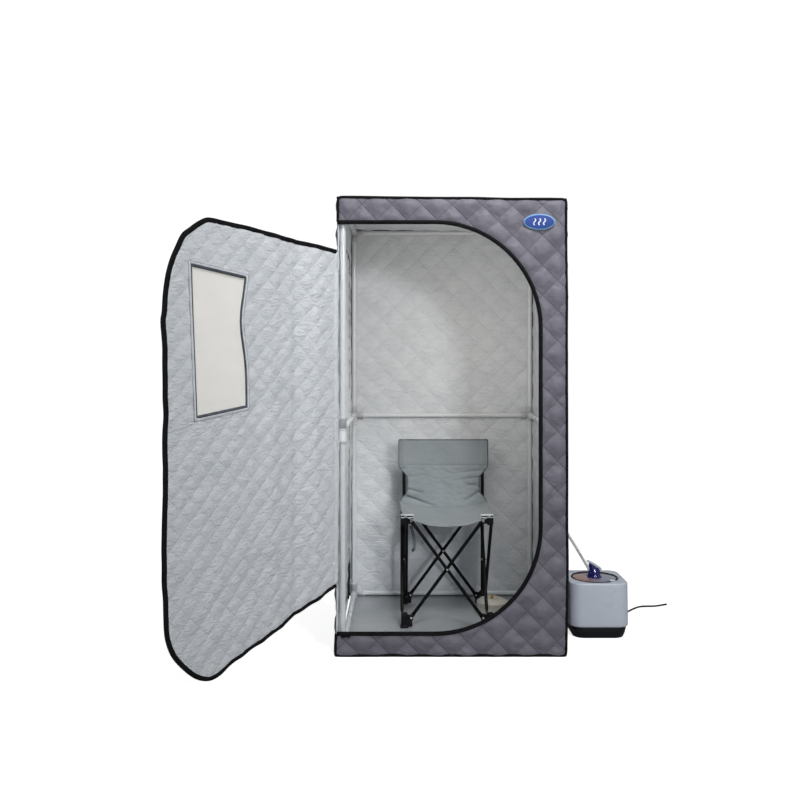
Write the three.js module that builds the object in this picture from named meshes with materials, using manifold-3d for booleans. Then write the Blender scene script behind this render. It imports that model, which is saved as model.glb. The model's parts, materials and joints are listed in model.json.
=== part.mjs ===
// Portable steam sauna: a quilted cabin on a push-fit tube frame, a folding chair inside it, and a
// steam generator beside it with its hose, herb box and power cord. Millimetres, +Z up, +X right,
// +Y from the doorway to the back wall, origin in the middle of the cabin's floor.
import * as THREE from 'three';
import { mergeVertices } from 'three/addons/utils/BufferGeometryUtils.js';
import Module from 'manifold-3d';

const wasm = await Module();
wasm.setup();

// Driving dimensions
const CABIN = { width: 800, depth: 800, height: 1600, fabric: 4 };
const GAP = 0.5;
const DOORWAY = { right: 310, bottom: 80, top: 1516, radius: 370 };
const TUBE = { radius: 10, wall: 1.6 };
const SOCKET = { radius: 13.5, bore: 10.7, reach: 46, stop: 20 };
const MID_RAIL_HEIGHT = 790;
const MAT_THICKNESS = 3;
const LEAF = { width: 722, thickness: 5, openAngle: 128, hingeInset: 2, hingeOut: 4 };
const LEAF_EDGE = { hingeLow: 250, hingeHigh: 1411, low: 72, high: 1462, bottomTurn: 545, topTurn: 560 };
const LOW_CORNER = { flat: 67, inset: 30, rise: 118, end: 400 };
const HIGH_CORNER = { start: 1200, inset: 10, rise: 110, shoulder: 54, drop: 34 };
const WINDOW = { from: 414, width: 220, low: 870, height: 440, film: 1.5 };
const SLIDER = { width: 22, depth: 8, height: 12, left: -386 };
const HOSE = { radius: 5.5, portHeight: 425, portRadius: 9, across: -100 };
const CORD_RADIUS = 3;
const CHAIR = { side: 330, centreX: 0, frontY: -70, footPivot: 41, hubPivot: 414, backTop: 690 };
const BAR = { radius: 6.5, past: 9, offset: 9 };
const BLOCK = { core: 12, pivotOut: 27, lugReach: 35, lugThickness: 4, lugHeight: 20 };
const POST = { radius: 7, bore: 7.9, footDepth: 8 };
const SLING = { width: 370, thickness: 6, frontLap: 16, backThickness: 8, aboveBack: 4 };
const STEAMER = { x: 560, y: -100, size: 220, baseSize: 208, corner: 46, baseHeight: 43, height: 206 };
const LID = { radius: 87, thickness: 6.5, hole: 16 };
const NOZZLE = { radius: 22, stem: 15, flange: 28, top: 262, slope: 31, slopeMiddle: 246 };
const NOZZLE_SOCKET = { x: -14, z: 224, length: 60, clearance: 1 };
const CAP = { length: 62, width: 28, thickness: 7, overhang: 33, lift: 1 };
const HERB_BOX = { x: 195, y: 150, radius: 62, height: 55, wall: 3 };

const ROUND = 12;
const deg = THREE.MathUtils.degToRad;
const at = (x, y, z) => new THREE.Vector3(x, y, z);

const finish = (color, roughness, metalness = 0) =>
  new THREE.MeshStandardMaterial({ color, roughness, metalness });
const LOOKS = {
  pvc: finish(0xeff1f2, 0.35),
  outerQuilt: finish(0x6f6c76, 0.8),
  doorQuilt: finish(0xbcc2c8, 0.6),
  mat: finish(0x7c8285, 0.4),
  film: finish(0xdedcd4, 0.5),
  zip: finish(0x1a1a1c, 0.5),
  steel: finish(0x141416, 0.4, 0.4),
  chairPlastic: finish(0x18181a, 0.6),
  chairCloth: finish(0x879193, 0.85),
  white: finish(0xc4cbd6, 0.35),
  black: finish(0x161a1d, 0.5),
  lid: finish(0x8f8791, 0.15),
  blue: finish(0x2c2c86, 0.2),
  hose: finish(0xdfe0e0, 0.4),
  cord: finish(0x121212, 0.6),
  cream: finish(0xd9d5ca, 0.4),
};

const sauna = new THREE.Group();

function piece(name, geometry, look, parent = sauna) {
  const mesh = new THREE.Mesh(geometry, look);
  mesh.name = name;
  parent.add(mesh);
  return mesh;
}

// Solids for cutting and joining
function toSolid(geometry) {
  const bare = geometry.clone();
  bare.deleteAttribute('normal');
  bare.deleteAttribute('uv');
  const merged = mergeVertices(bare, 1e-4);
  return new wasm.Manifold(new wasm.Mesh({
    numProp: 3,
    vertProperties: new Float32Array(merged.attributes.position.array),
    triVerts: new Uint32Array(merged.index.array),
  }));
}

function toGeometry(solid) {
  const mesh = solid.getMesh();
  const geometry = new THREE.BufferGeometry();
  geometry.setAttribute('position', new THREE.BufferAttribute(mesh.vertProperties, 3));
  geometry.setIndex(new THREE.BufferAttribute(mesh.triVerts, 1));
  geometry.computeVertexNormals();
  return geometry;
}

function block(low, high) {
  const size = high.clone().sub(low);
  const box = new THREE.BoxGeometry(size.x, size.y, size.z);
  const middle = low.clone().add(high).multiplyScalar(0.5);
  return box.translate(middle.x, middle.y, middle.z);
}

function rod(from, to, radius, sides = ROUND) {
  const along = to.clone().sub(from);
  const rodGeometry = new THREE.CylinderGeometry(radius, radius, along.length(), sides);
  const turn = new THREE.Quaternion().setFromUnitVectors(at(0, 1, 0), along.normalize());
  const middle = from.clone().add(to).multiplyScalar(0.5);
  return rodGeometry.applyQuaternion(turn).translate(middle.x, middle.y, middle.z);
}

function pipe(from, to, outer, inner) {
  const overrun = to.clone().sub(from).normalize();
  const bore = rod(from.clone().sub(overrun), to.clone().add(overrun), inner);
  return toGeometry(toSolid(rod(from, to, outer)).subtract(toSolid(bore)));
}

function plate(shape, thickness, curveSegments = 10) {
  const settings = { depth: thickness, bevelEnabled: false, curveSegments };
  return new THREE.ExtrudeGeometry(shape, settings).rotateX(Math.PI / 2).translate(0, thickness, 0);
}

function sweep(points, radius, steps, sides) {
  const path = new THREE.CatmullRomCurve3(points, false, 'centripetal');
  const ring = new THREE.Shape();
  for (let i = 0; i < sides; i += 1) {
    const turn = (i / sides) * 2 * Math.PI;
    const corner = [radius * Math.cos(turn), radius * Math.sin(turn)];
    if (i === 0) ring.moveTo(...corner);
    else ring.lineTo(...corner);
  }
  return new THREE.ExtrudeGeometry(ring, { steps, bevelEnabled: false, extrudePath: path });
}

// Tube frame: corner posts, rails at the floor, the middle and the roof, and push-fit connectors
const POST_X = CABIN.width / 2 - CABIN.fabric - SOCKET.radius - 1;
const POST_Y = CABIN.depth / 2 - CABIN.fabric - SOCKET.radius - 1;
const LOW_RAIL = MAT_THICKNESS + GAP + SOCKET.radius;
const HIGH_RAIL = CABIN.height - CABIN.fabric - GAP - SOCKET.radius;

function tube(name, from, to) {
  const shorten = to.clone().sub(from).normalize().multiplyScalar(SOCKET.stop + GAP);
  const start = from.clone().add(shorten);
  const end = to.clone().sub(shorten);
  piece(name, pipe(start, end, TUBE.radius, TUBE.radius - TUBE.wall), LOOKS.pvc);
}

function connector(name, centre, arms, sleeve) {
  const origin = at(0, 0, 0);
  const reach = (arm, length) => arm.clone().multiplyScalar(length);
  let body = toSolid(new THREE.SphereGeometry(SOCKET.radius, ROUND, ROUND / 2));
  for (const arm of arms) {
    body = body.add(toSolid(rod(origin, reach(arm, SOCKET.reach), SOCKET.radius)));
  }
  for (const arm of arms) {
    const along = sleeve && arm.z !== 0;
    const start = reach(arm, along ? -SOCKET.reach : SOCKET.stop);
    const bore = rod(start, reach(arm, SOCKET.reach + 1), SOCKET.bore);
    body = body.subtract(toSolid(bore));
  }
  piece(name, toGeometry(body), LOOKS.pvc).position.copy(centre);
}

function buildFrame() {
  const corners = [
    { name: 'front_left', x: -1, y: -1 },
    { name: 'front_right', x: 1, y: -1 },
    { name: 'back_left', x: -1, y: 1 },
    { name: 'back_right', x: 1, y: 1 },
  ];
  const levels = [
    { name: 'bottom', z: LOW_RAIL, up: 1 },
    { name: 'top', z: HIGH_RAIL, up: -1 },
  ];
  for (const corner of corners) {
    const [x, y] = [corner.x * POST_X, corner.y * POST_Y];
    const inX = at(-corner.x, 0, 0);
    const inY = at(0, -corner.y, 0);
    for (const level of levels) {
      const arms = [inX, inY, at(0, 0, level.up)];
      connector(`connector_${level.name}_${corner.name}`, at(x, y, level.z), arms, false);
    }
    const across = corner.y > 0 ? [inX, inY] : [inY];
    const middle = at(x, y, MID_RAIL_HEIGHT);
    connector(`connector_mid_${corner.name}`, middle, [at(0, 0, 1), at(0, 0, -1), ...across], true);
    tube(`post_${corner.name}`, at(x, y, LOW_RAIL), at(x, y, HIGH_RAIL));
  }
  for (const level of [...levels, { name: 'mid', z: MID_RAIL_HEIGHT }]) {
    const z = level.z;
    tube(`rail_${level.name}_left`, at(-POST_X, -POST_Y, z), at(-POST_X, POST_Y, z));
    tube(`rail_${level.name}_right`, at(POST_X, -POST_Y, z), at(POST_X, POST_Y, z));
    tube(`rail_${level.name}_back`, at(-POST_X, POST_Y, z), at(POST_X, POST_Y, z));
    if (level.up) tube(`rail_${level.name}_front`, at(-POST_X, -POST_Y, z), at(POST_X, -POST_Y, z));
  }
}

// Quilted cover: a front panel round the doorway, and one shell for the sides, back and roof
function buildCover() {
  const half = CABIN.width / 2;
  const { right, bottom, top, radius } = DOORWAY;
  const outline = new THREE.Shape();
  outline.moveTo(-half, 0).lineTo(half, 0).lineTo(half, CABIN.height).lineTo(-half, CABIN.height);
  outline.lineTo(-half, top).lineTo(right - radius, top);
  outline.absarc(right - radius, top - radius, radius, Math.PI / 2, 0, true);
  outline.lineTo(right, bottom + radius);
  outline.absarc(right - radius, bottom + radius, radius, 0, -Math.PI / 2, true);
  outline.lineTo(-half, bottom);
  const front = piece('cover_front', plate(outline, CABIN.fabric), LOOKS.outerQuilt);
  front.position.y = -CABIN.depth / 2;

  const shellFront = -CABIN.depth / 2 + CABIN.fabric + GAP;
  const outside = block(at(-half, shellFront, 0), at(half, CABIN.depth / 2, CABIN.height));
  const inner = half - CABIN.fabric;
  const back = CABIN.depth / 2 - CABIN.fabric;
  const roof = CABIN.height - CABIN.fabric;
  const inside = block(at(-inner, shellFront - 1, -1), at(inner, back, roof));
  const portStart = at(inner - 1, HOSE.across, HOSE.portHeight);
  const portEnd = at(half + 1, HOSE.across, HOSE.portHeight);
  const port = rod(portStart, portEnd, HOSE.portRadius);
  const shell = toSolid(outside).subtract(toSolid(inside)).subtract(toSolid(port));
  piece('cover_shell', toGeometry(shell), LOOKS.outerQuilt);

  const matX = inner - GAP;
  const matY = back - GAP;
  piece('floor_mat', block(at(-matX, -matY, 0), at(matX, matY, MAT_THICKNESS)), LOOKS.mat);
}

// Door leaf, hung on the cabin's front left edge and standing open, with its window
function buildDoor() {
  const { width } = LEAF;
  const { hingeLow, hingeHigh, low, high, bottomTurn, topTurn } = LEAF_EDGE;
  const outline = new THREE.Shape();
  outline.moveTo(LEAF.hingeInset, hingeLow).lineTo(bottomTurn, low);
  const lowTurn = [bottomTurn + LOW_CORNER.flat, low, width - LOW_CORNER.inset, low + LOW_CORNER.rise];
  outline.bezierCurveTo(...lowTurn, width, LOW_CORNER.end);
  outline.lineTo(width, HIGH_CORNER.start);
  const highTurn = [width - HIGH_CORNER.inset, HIGH_CORNER.start + HIGH_CORNER.rise];
  const shoulder = [width - HIGH_CORNER.shoulder, high - HIGH_CORNER.drop];
  outline.bezierCurveTo(...highTurn, ...shoulder, topTurn, high);
  outline.lineTo(LEAF.hingeInset, hingeHigh);
  const hole = new THREE.Path();
  const windowEnd = WINDOW.from + WINDOW.width;
  const windowTop = WINDOW.low + WINDOW.height;
  hole.moveTo(WINDOW.from, WINDOW.low).lineTo(WINDOW.from, windowTop);
  hole.lineTo(windowEnd, windowTop).lineTo(windowEnd, WINDOW.low);
  outline.holes.push(hole);

  const hinge = new THREE.Group();
  hinge.position.set(-CABIN.width / 2 - LEAF.hingeOut, -CABIN.depth / 2 - LEAF.hingeOut, 0);
  hinge.rotation.z = deg(-LEAF.openAngle);
  sauna.add(hinge);
  const leaf = piece('door_leaf', plate(outline, LEAF.thickness, 8), LOOKS.doorQuilt, hinge);
  leaf.position.y = -LEAF.thickness / 2;
  const filmLow = at(WINDOW.from + GAP, -WINDOW.film / 2, WINDOW.low + GAP);
  const filmHigh = at(windowEnd - GAP, WINDOW.film / 2, windowTop - GAP);
  piece('door_window', block(filmLow, filmHigh), LOOKS.film, hinge);
}

function buildZipSlider() {
  const face = -CABIN.depth / 2 - GAP;
  const top = DOORWAY.bottom - 2;
  const low = at(SLIDER.left, face - SLIDER.depth, top - SLIDER.height);
  const high = at(SLIDER.left + SLIDER.width, face, top);
  piece('zip_slider', block(low, high), LOOKS.zip);
}

// Folding chair: four scissor pairs between four feet and four hubs; the rear hubs slide on posts
const FOOT = { low: MAT_THICKNESS + GAP, high: 60 };
const HUB = { low: CHAIR.hubPivot - 16, high: CHAIR.hubPivot + 18 };
const SPAN = CHAIR.side - 2 * BLOCK.pivotOut;
const RISE = CHAIR.hubPivot - CHAIR.footPivot;
const BAR_LENGTH = Math.hypot(SPAN, RISE);
const LEAN = Math.atan2(SPAN, RISE);
const CHAIR_LEFT = CHAIR.centreX - CHAIR.side / 2;
const CHAIR_RIGHT = CHAIR.centreX + CHAIR.side / 2;
const CHAIR_REAR = CHAIR.frontY + CHAIR.side;

function chairBlock(name, x, y, inX, inY, extent, pivot, bored) {
  let body = toSolid(rod(at(0, 0, extent.low), at(0, 0, extent.high), BLOCK.core));
  const half = BLOCK.lugThickness / 2;
  const low = pivot - BLOCK.lugHeight / 2;
  const high = pivot + BLOCK.lugHeight / 2;
  const alongX = block(at(0, -half, low), at(BLOCK.lugReach, half, high));
  const alongY = block(at(-half, 0, low), at(half, BLOCK.lugReach, high));
  if (inX < 0) alongX.translate(-BLOCK.lugReach, 0, 0);
  if (inY < 0) alongY.translate(0, -BLOCK.lugReach, 0);
  body = body.add(toSolid(alongX)).add(toSolid(alongY));
  if (bored) {
    const bore = rod(at(0, 0, bored), at(0, 0, extent.high + 1), POST.bore);
    body = body.subtract(toSolid(bore));
  }
  piece(name, toGeometry(body), LOOKS.chairPlastic).position.set(x, y, 0);
}

function chairBar(name, centre, leanX, leanY) {
  const half = BAR_LENGTH / 2 + BAR.past;
  const bar = piece(name, rod(at(0, 0, -half), at(0, 0, half), BAR.radius, 10), LOOKS.steel);
  bar.position.copy(centre);
  bar.rotation.set(-leanY * LEAN, leanX * LEAN, 0);
}

function buildChair() {
  const middleX = CHAIR.centreX;
  const middleY = CHAIR.frontY + CHAIR.side / 2;
  const middleZ = (CHAIR.footPivot + CHAIR.hubPivot) / 2;
  const out = BAR.offset;
  const corners = [
    { name: 'rear_left', x: CHAIR_LEFT, y: CHAIR_REAR, inX: 1, inY: -1, rear: true },
    { name: 'rear_right', x: CHAIR_RIGHT, y: CHAIR_REAR, inX: -1, inY: -1, rear: true },
    { name: 'front_left', x: CHAIR_LEFT, y: CHAIR.frontY, inX: 1, inY: 1, rear: false },
    { name: 'front_right', x: CHAIR_RIGHT, y: CHAIR.frontY, inX: -1, inY: 1, rear: false },
  ];
  for (const { name, x, y, inX, inY, rear } of corners) {
    const socket = rear ? FOOT.low + POST.footDepth : 0;
    const through = rear ? HUB.low - 1 : 0;
    chairBlock(`chair_foot_${name}`, x, y, inX, inY, FOOT, CHAIR.footPivot, socket);
    chairBlock(`chair_hub_${name}`, x, y, inX, inY, HUB, CHAIR.hubPivot, through);
    if (!rear) continue;
    const postFoot = at(x, y, FOOT.low + POST.footDepth + GAP);
    piece(`chair_post_${name}`, rod(postFoot, at(x, y, CHAIR.backTop), POST.radius), LOOKS.steel);
  }
  chairBar('chair_bar_rear_outer', at(middleX, CHAIR_REAR + out, middleZ), 1, 0);
  chairBar('chair_bar_rear_inner', at(middleX, CHAIR_REAR - out, middleZ), -1, 0);
  chairBar('chair_bar_front_inner', at(middleX, CHAIR.frontY + out, middleZ), 1, 0);
  chairBar('chair_bar_front_outer', at(middleX, CHAIR.frontY - out, middleZ), -1, 0);
  chairBar('chair_bar_left_inner', at(CHAIR_LEFT + out, middleY, middleZ), 0, -1);
  chairBar('chair_bar_left_outer', at(CHAIR_LEFT - out, middleY, middleZ), 0, 1);
  chairBar('chair_bar_right_outer', at(CHAIR_RIGHT + out, middleY, middleZ), 0, -1);
  chairBar('chair_bar_right_inner', at(CHAIR_RIGHT - out, middleY, middleZ), 0, 1);
}

// Sling of the chair: a seat over the hubs and a back in front of the posts, in one piece
function buildChairSling() {
  const seatLow = HUB.high + GAP;
  const seatHigh = seatLow + SLING.thickness;
  const rear = CHAIR_REAR - POST.radius - 1;
  const backFront = rear - SLING.backThickness;
  const front = CHAIR.frontY - SLING.frontLap;
  const top = CHAIR.backTop + SLING.aboveBack;
  const profile = new THREE.Shape();
  profile.moveTo(front, seatLow).lineTo(rear, seatLow).lineTo(rear, top);
  profile.lineTo(backFront, top).lineTo(backFront, seatHigh).lineTo(front, seatHigh);
  const sling = new THREE.ExtrudeGeometry(profile, { depth: SLING.width, bevelEnabled: false });
  sling.rotateX(Math.PI / 2).rotateZ(Math.PI / 2);
  sling.translate(CHAIR.centreX - SLING.width / 2, 0, 0);
  piece('chair_sling', sling, LOOKS.chairCloth);
}

// Steam generator
function roundedSquare(size, corner) {
  const half = size / 2;
  const shape = new THREE.Shape();
  shape.moveTo(-half + corner, -half).lineTo(half - corner, -half);
  shape.quadraticCurveTo(half, -half, half, -half + corner).lineTo(half, half - corner);
  shape.quadraticCurveTo(half, half, half - corner, half).lineTo(-half + corner, half);
  shape.quadraticCurveTo(-half, half, -half, half - corner).lineTo(-half, -half + corner);
  shape.quadraticCurveTo(-half, -half, -half + corner, -half);
  return shape;
}

function prism(shape, low, high) {
  const settings = { depth: high - low, bevelEnabled: false, curveSegments: 5 };
  return new THREE.ExtrudeGeometry(shape, settings).translate(0, 0, low);
}

function buildSteamer() {
  const unit = new THREE.Group();
  unit.position.set(STEAMER.x, STEAMER.y, 0);
  sauna.add(unit);
  const base = prism(roundedSquare(STEAMER.baseSize, STEAMER.corner), 0, STEAMER.baseHeight);
  piece('steamer_base', base, LOOKS.black, unit);

  const tankFloor = STEAMER.baseHeight + 25;
  const lidSeat = STEAMER.height - LID.thickness - 1;
  const outline = roundedSquare(STEAMER.size, STEAMER.corner);
  const shell = prism(outline, STEAMER.baseHeight + GAP, STEAMER.height);
  const tank = rod(at(0, 0, tankFloor), at(0, 0, STEAMER.height + 1), LID.radius - 4, 24);
  const rebate = rod(at(0, 0, lidSeat), at(0, 0, STEAMER.height + 1), LID.radius + 1.5, 24);
  const housing = toSolid(shell).subtract(toSolid(tank)).subtract(toSolid(rebate));
  piece('steamer_housing', toGeometry(housing), LOOKS.white, unit);

  const lidLow = lidSeat + GAP;
  const lidHigh = lidLow + LID.thickness;
  piece('steamer_lid', pipe(at(0, 0, lidLow), at(0, 0, lidHigh), LID.radius, LID.hole), LOOKS.lid, unit);

  buildNozzle(unit, lidLow, lidHigh);
}

// Nozzle through the lid, with a sloping top under a flip cap and a socket for the hose
function buildNozzle(unit, lidLow, lidHigh) {
  const { radius, stem, flange, top } = NOZZLE;
  const profile = [
    [0, lidLow - 10], [stem, lidLow - 10], [stem, lidHigh + GAP], [flange, lidHigh + GAP],
    [flange, lidHigh + 5], [radius, lidHigh + 8], [radius, top], [0, top],
  ].map(([r, z]) => new THREE.Vector2(r, z));
  const turned = new THREE.LatheGeometry(profile, 16).rotateX(Math.PI / 2);
  const slope = deg(NOZZLE.slope);
  const topMiddle = at(0, 0, NOZZLE.slopeMiddle);
  const cutter = block(at(-80, -60, 0), at(80, 60, 80)).rotateY(slope);
  cutter.translate(topMiddle.x, topMiddle.y, topMiddle.z);
  const socketEnd = at(NOZZLE_SOCKET.x, 0, NOZZLE_SOCKET.z);
  const socketMouth = socketEnd.clone().addScaledVector(at(-67, 0, 111).normalize(), NOZZLE_SOCKET.length);
  const socket = rod(socketEnd, socketMouth, HOSE.radius + NOZZLE_SOCKET.clearance);
  const nozzle = toSolid(turned).subtract(toSolid(cutter)).subtract(toSolid(socket));
  piece('steamer_nozzle', toGeometry(nozzle), LOOKS.blue, unit);

  const half = CAP.width / 2;
  const capLow = at(-CAP.overhang, -half, CAP.lift);
  const capHigh = at(CAP.length - CAP.overhang, half, CAP.lift + CAP.thickness);
  const cap = piece('nozzle_cap', block(capLow, capHigh), LOOKS.white, unit);
  cap.position.copy(topMiddle);
  cap.rotation.y = slope;
}

function buildHoseAndCord() {
  const y = HOSE.across;
  const nozzleX = STEAMER.x - 15;
  const boxSide = HERB_BOX.x + HERB_BOX.radius + 2;
  const run = [
    at(nozzleX, y, 226), at(534, y, 244), at(467, y, 355), at(428, y, 408),
    at(CABIN.width / 2 - 2, y, HOSE.portHeight), at(368, y, 405), at(353, y + 6, 330),
    at(354, y + 60, 150), at(340, y + 155, 45), at(304, y + 235, 20), at(boxSide, HERB_BOX.y, 24),
  ];
  piece('steam_hose', sweep(run, HOSE.radius, 44, 8), LOOKS.hose);

  const floor = CORD_RADIUS + 0.5;
  const back = STEAMER.y + STEAMER.baseSize / 2 + CORD_RADIUS;
  const cord = [
    at(600, back, 22), at(640, back + 54, floor + 2), at(690, 94, floor), at(741, 134, floor),
    at(786, 187, floor), at(822, 217, floor), at(883, 223, floor), at(939, 251, floor),
  ];
  piece('power_cord', sweep(cord, CORD_RADIUS, 26, 6), LOOKS.cord);
}

// Herb box that lets the steam out inside the cabin
function buildHerbBox() {
  const { radius, height, wall } = HERB_BOX;
  const vent = 12;
  const profile = [
    [0, 0], [radius - 4, 0], [radius, 6], [radius, height - 14], [radius - 12, height - 3],
    [vent, height], [vent, height - wall], [radius - 13, height - 3 - wall],
    [radius - wall, height - 15], [radius - wall, wall], [0, wall],
  ].map(([r, z]) => new THREE.Vector2(r, z));
  const turned = new THREE.LatheGeometry(profile, 24).rotateX(Math.PI / 2);
  piece('herb_box', turned, LOOKS.cream).position.set(HERB_BOX.x, HERB_BOX.y, MAT_THICKNESS + GAP);
}

buildFrame();
buildCover();
buildDoor();
buildZipSlider();
buildChair();
buildChairSling();
buildSteamer();
buildHoseAndCord();
buildHerbBox();

export default sauna;
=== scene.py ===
"""Looks of the portable steam sauna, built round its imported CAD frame. Metres, +Z up."""
import json
import math

import bpy
import numpy as np
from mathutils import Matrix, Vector
from mathutils.geometry import delaunay_2d_cdt


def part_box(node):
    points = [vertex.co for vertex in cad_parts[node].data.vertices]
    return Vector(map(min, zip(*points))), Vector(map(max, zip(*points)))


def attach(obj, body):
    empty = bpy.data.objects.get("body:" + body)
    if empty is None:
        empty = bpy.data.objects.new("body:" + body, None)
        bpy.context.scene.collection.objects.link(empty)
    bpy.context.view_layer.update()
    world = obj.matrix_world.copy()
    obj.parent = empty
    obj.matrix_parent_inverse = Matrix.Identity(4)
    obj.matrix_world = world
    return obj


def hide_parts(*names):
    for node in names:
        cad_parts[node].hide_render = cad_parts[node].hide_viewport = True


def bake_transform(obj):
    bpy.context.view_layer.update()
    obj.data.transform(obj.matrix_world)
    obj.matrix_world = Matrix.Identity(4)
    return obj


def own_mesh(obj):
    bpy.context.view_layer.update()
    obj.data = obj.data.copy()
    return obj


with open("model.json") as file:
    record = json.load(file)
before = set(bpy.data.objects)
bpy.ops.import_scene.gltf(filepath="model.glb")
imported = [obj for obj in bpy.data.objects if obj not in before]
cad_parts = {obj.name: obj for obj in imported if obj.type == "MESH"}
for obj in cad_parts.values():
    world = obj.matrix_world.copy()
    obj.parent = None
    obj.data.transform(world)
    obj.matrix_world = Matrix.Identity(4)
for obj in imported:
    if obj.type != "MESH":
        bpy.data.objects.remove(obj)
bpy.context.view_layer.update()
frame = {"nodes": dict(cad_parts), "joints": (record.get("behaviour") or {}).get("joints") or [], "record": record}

# ---------------------------------------------------------------- sizes
CLOTH = 0.004            # thickness of the quilted cloth between its stitches
PUFF_OUT = 0.0080        # how far the wadding stands out between stitches, outside
PUFF_IN = 0.0044         # the same on the lining
QUILT = 0.105            # diagonal of one quilted diamond
LEAF_QUILT = 0.070       # the same on the door leaf
GRID = 0.0075            # mesh spacing on cloth panels
TAPE = 0.0110            # width of the black tape round the doorway
LEAF_TAPE = 0.0165       # width of the tape round the leaf
PIPING = 0.0054          # radius of the piping on the cabin's edges
ZIP_COIL = 0.0021        # radius of the zip round the doorway
SIDES = 28               # sides of a round tube
RELIEF_TILES = 3         # diamonds across the simulated swatch that is kept
RELIEF_STEP = 0.00525    # mesh spacing of the swatch
SWATCH_FRAMES = 20       # frames the swatch is blown up for
PRESSURE = 4.0           # pressure that blows it up
TABLE_SIZE = 64          # sides of the random table behind the noise
TO_FRONT = np.array([0.0, -1.0, 0.0])
UP = (0, 0, 1)

nodes = frame["nodes"]
body_of_node = {n: b for b, members in frame["record"]["behaviour"]["bodies"].items() for n in members}
joints = {j["name"]: j for j in frame["joints"]}

front_low, front_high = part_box("cover_front")
LEFT, RIGHT = front_low.x, front_high.x
FRONT, BACK = front_low.y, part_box("cover_shell")[1].y
ROOF = front_high.z


def points_of(mesh):
    """A mesh's vertices, as rows of x, y, z."""
    co = np.zeros(len(mesh.vertices) * 3)
    mesh.vertices.foreach_get("co", co)
    return co.reshape(-1, 3)


def vertices(node):
    return points_of(nodes[node].data)


def middle(node):
    low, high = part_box(node)
    return (low + high) / 2


def nodes_named(*starts):
    """The CAD nodes whose names start so, in order."""
    return [n for n in sorted(nodes) if n.startswith(starts)]


# ---------------------------------------------------------------- shape formulas
def ease(t):
    return t * t * (3 - 2 * t)


def ramp(x, start, end):
    """Rises evenly from 0 at start to 1 at end."""
    return np.clip((x - start) / (end - start), 0, 1)


def smooth(x, start, end):
    return ease(ramp(x, start, end))


def hump(x, centre, width):
    """1 at the centre, falling away smoothly on both sides."""
    return np.exp(-((x - centre) / width) ** 2)


def xyz(x, y, z):
    """Points from their coordinates, any of which may be one number for all."""
    return np.stack(np.broadcast_arrays(x, y, z), -1).astype(float)


def looked_up(table, x, y, blend=lambda t: t):
    """A table's value at each x, y, blended between its cells and repeated past its ends."""
    rows, columns = table.shape
    x0, y0 = np.floor(x).astype(int), np.floor(y).astype(int)
    fx, fy = blend(x - x0), blend(y - y0)
    at = lambda i, j: table[(x0 + i) % rows, (y0 + j) % columns]
    low = at(0, 0) * (1 - fx) + at(1, 0) * fx
    high = at(0, 1) * (1 - fx) + at(1, 1) * fx
    return low * (1 - fy) + high * fy


def noise(u, v, size, seed):
    """Smooth noise between -1 and 1 with features of the given size, the same on every run."""
    table = np.random.default_rng(seed).uniform(-1, 1, (TABLE_SIZE, TABLE_SIZE))
    return looked_up(table, np.asarray(u) / size, np.asarray(v) / size, ease)


def ripples(u, v, seed):
    """Small puckers of quilted cloth, in metres."""
    fine = noise(u, v, 0.022, seed) * 0.0007
    broad = noise(u, v, 0.11, seed + 1) * 0.0016
    return fine + broad


def stitched(u, v):
    """0 on the stitch lines of the diamond quilting and 1 in the middle of a diamond."""
    a = np.abs(np.sin(np.pi * (u + v) / QUILT))
    b = np.abs(np.sin(np.pi * (u - v) / QUILT))
    return a ** 0.55 * b ** 0.45


def simulate_swatch():
    """Blows up a slack swatch of cloth held along its stitch lines; returns its heights, 0 to 1."""
    per_tile = int(round(QUILT / RELIEF_STEP))
    keep = slice(per_tile, per_tile + RELIEF_TILES * per_tile)
    count = keep.stop + per_tile + 1
    line = np.arange(count) * RELIEF_STEP - QUILT
    u, v = (axis.ravel() for axis in np.meshgrid(line, line))
    start = 0.002 * stitched(u, v) + 0.0006 * noise(u, v, 0.012, 5)
    swatch = mesh_object("swatch", np.stack([u, v, start], 1), grid_faces(count, count), [])
    held = swatch.vertex_groups.new(name="stitches")
    for i in np.nonzero(stitched(u, v) < 0.20)[0]:
        held.add([int(i)], 1.0, "REPLACE")
    cloth = swatch.modifiers.new("cloth", "CLOTH")
    cloth.settings.vertex_group_mass = "stitches"
    cloth.settings.use_pressure = True
    cloth.settings.uniform_pressure_force = PRESSURE
    cloth.settings.shrink_min = -0.012
    cloth.settings.tension_stiffness = 15
    cloth.settings.compression_stiffness = 15
    cloth.settings.bending_stiffness = 2.0
    cloth.settings.quality = 6
    cloth.settings.effector_weights.gravity = 0.0
    scene = bpy.context.scene
    for timed in (cloth.point_cache, scene):
        timed.frame_start, timed.frame_end = 1, SWATCH_FRAMES
    for frame_number in range(1, SWATCH_FRAMES + 1):
        scene.frame_set(frame_number)
    blown = swatch.evaluated_get(bpy.context.evaluated_depsgraph_get()).to_mesh()
    height = points_of(blown).reshape(count, count, 3)[keep, keep, 2]
    bpy.data.objects.remove(swatch)
    scene.frame_set(1)
    return np.clip(height / np.percentile(height, 96), -0.1, 1.25)


def pillow(u, v):
    """Relief of the quilting at cloth coordinates, from the simulated swatch repeated."""
    return looked_up(RELIEF.T, np.asarray(u) / RELIEF_STEP, np.asarray(v) / RELIEF_STEP)


# ---------------------------------------------------------------- meshes
def set_uv(mesh, uv):
    """Gives each face corner its vertex's cloth coordinates, in metres."""
    index = np.zeros(len(mesh.loops), dtype=np.int32)
    mesh.loops.foreach_get("vertex_index", index)
    layer = mesh.uv_layers.new(name="metres")
    layer.data.foreach_set("uv", np.asarray(uv, float)[index].ravel())


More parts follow.
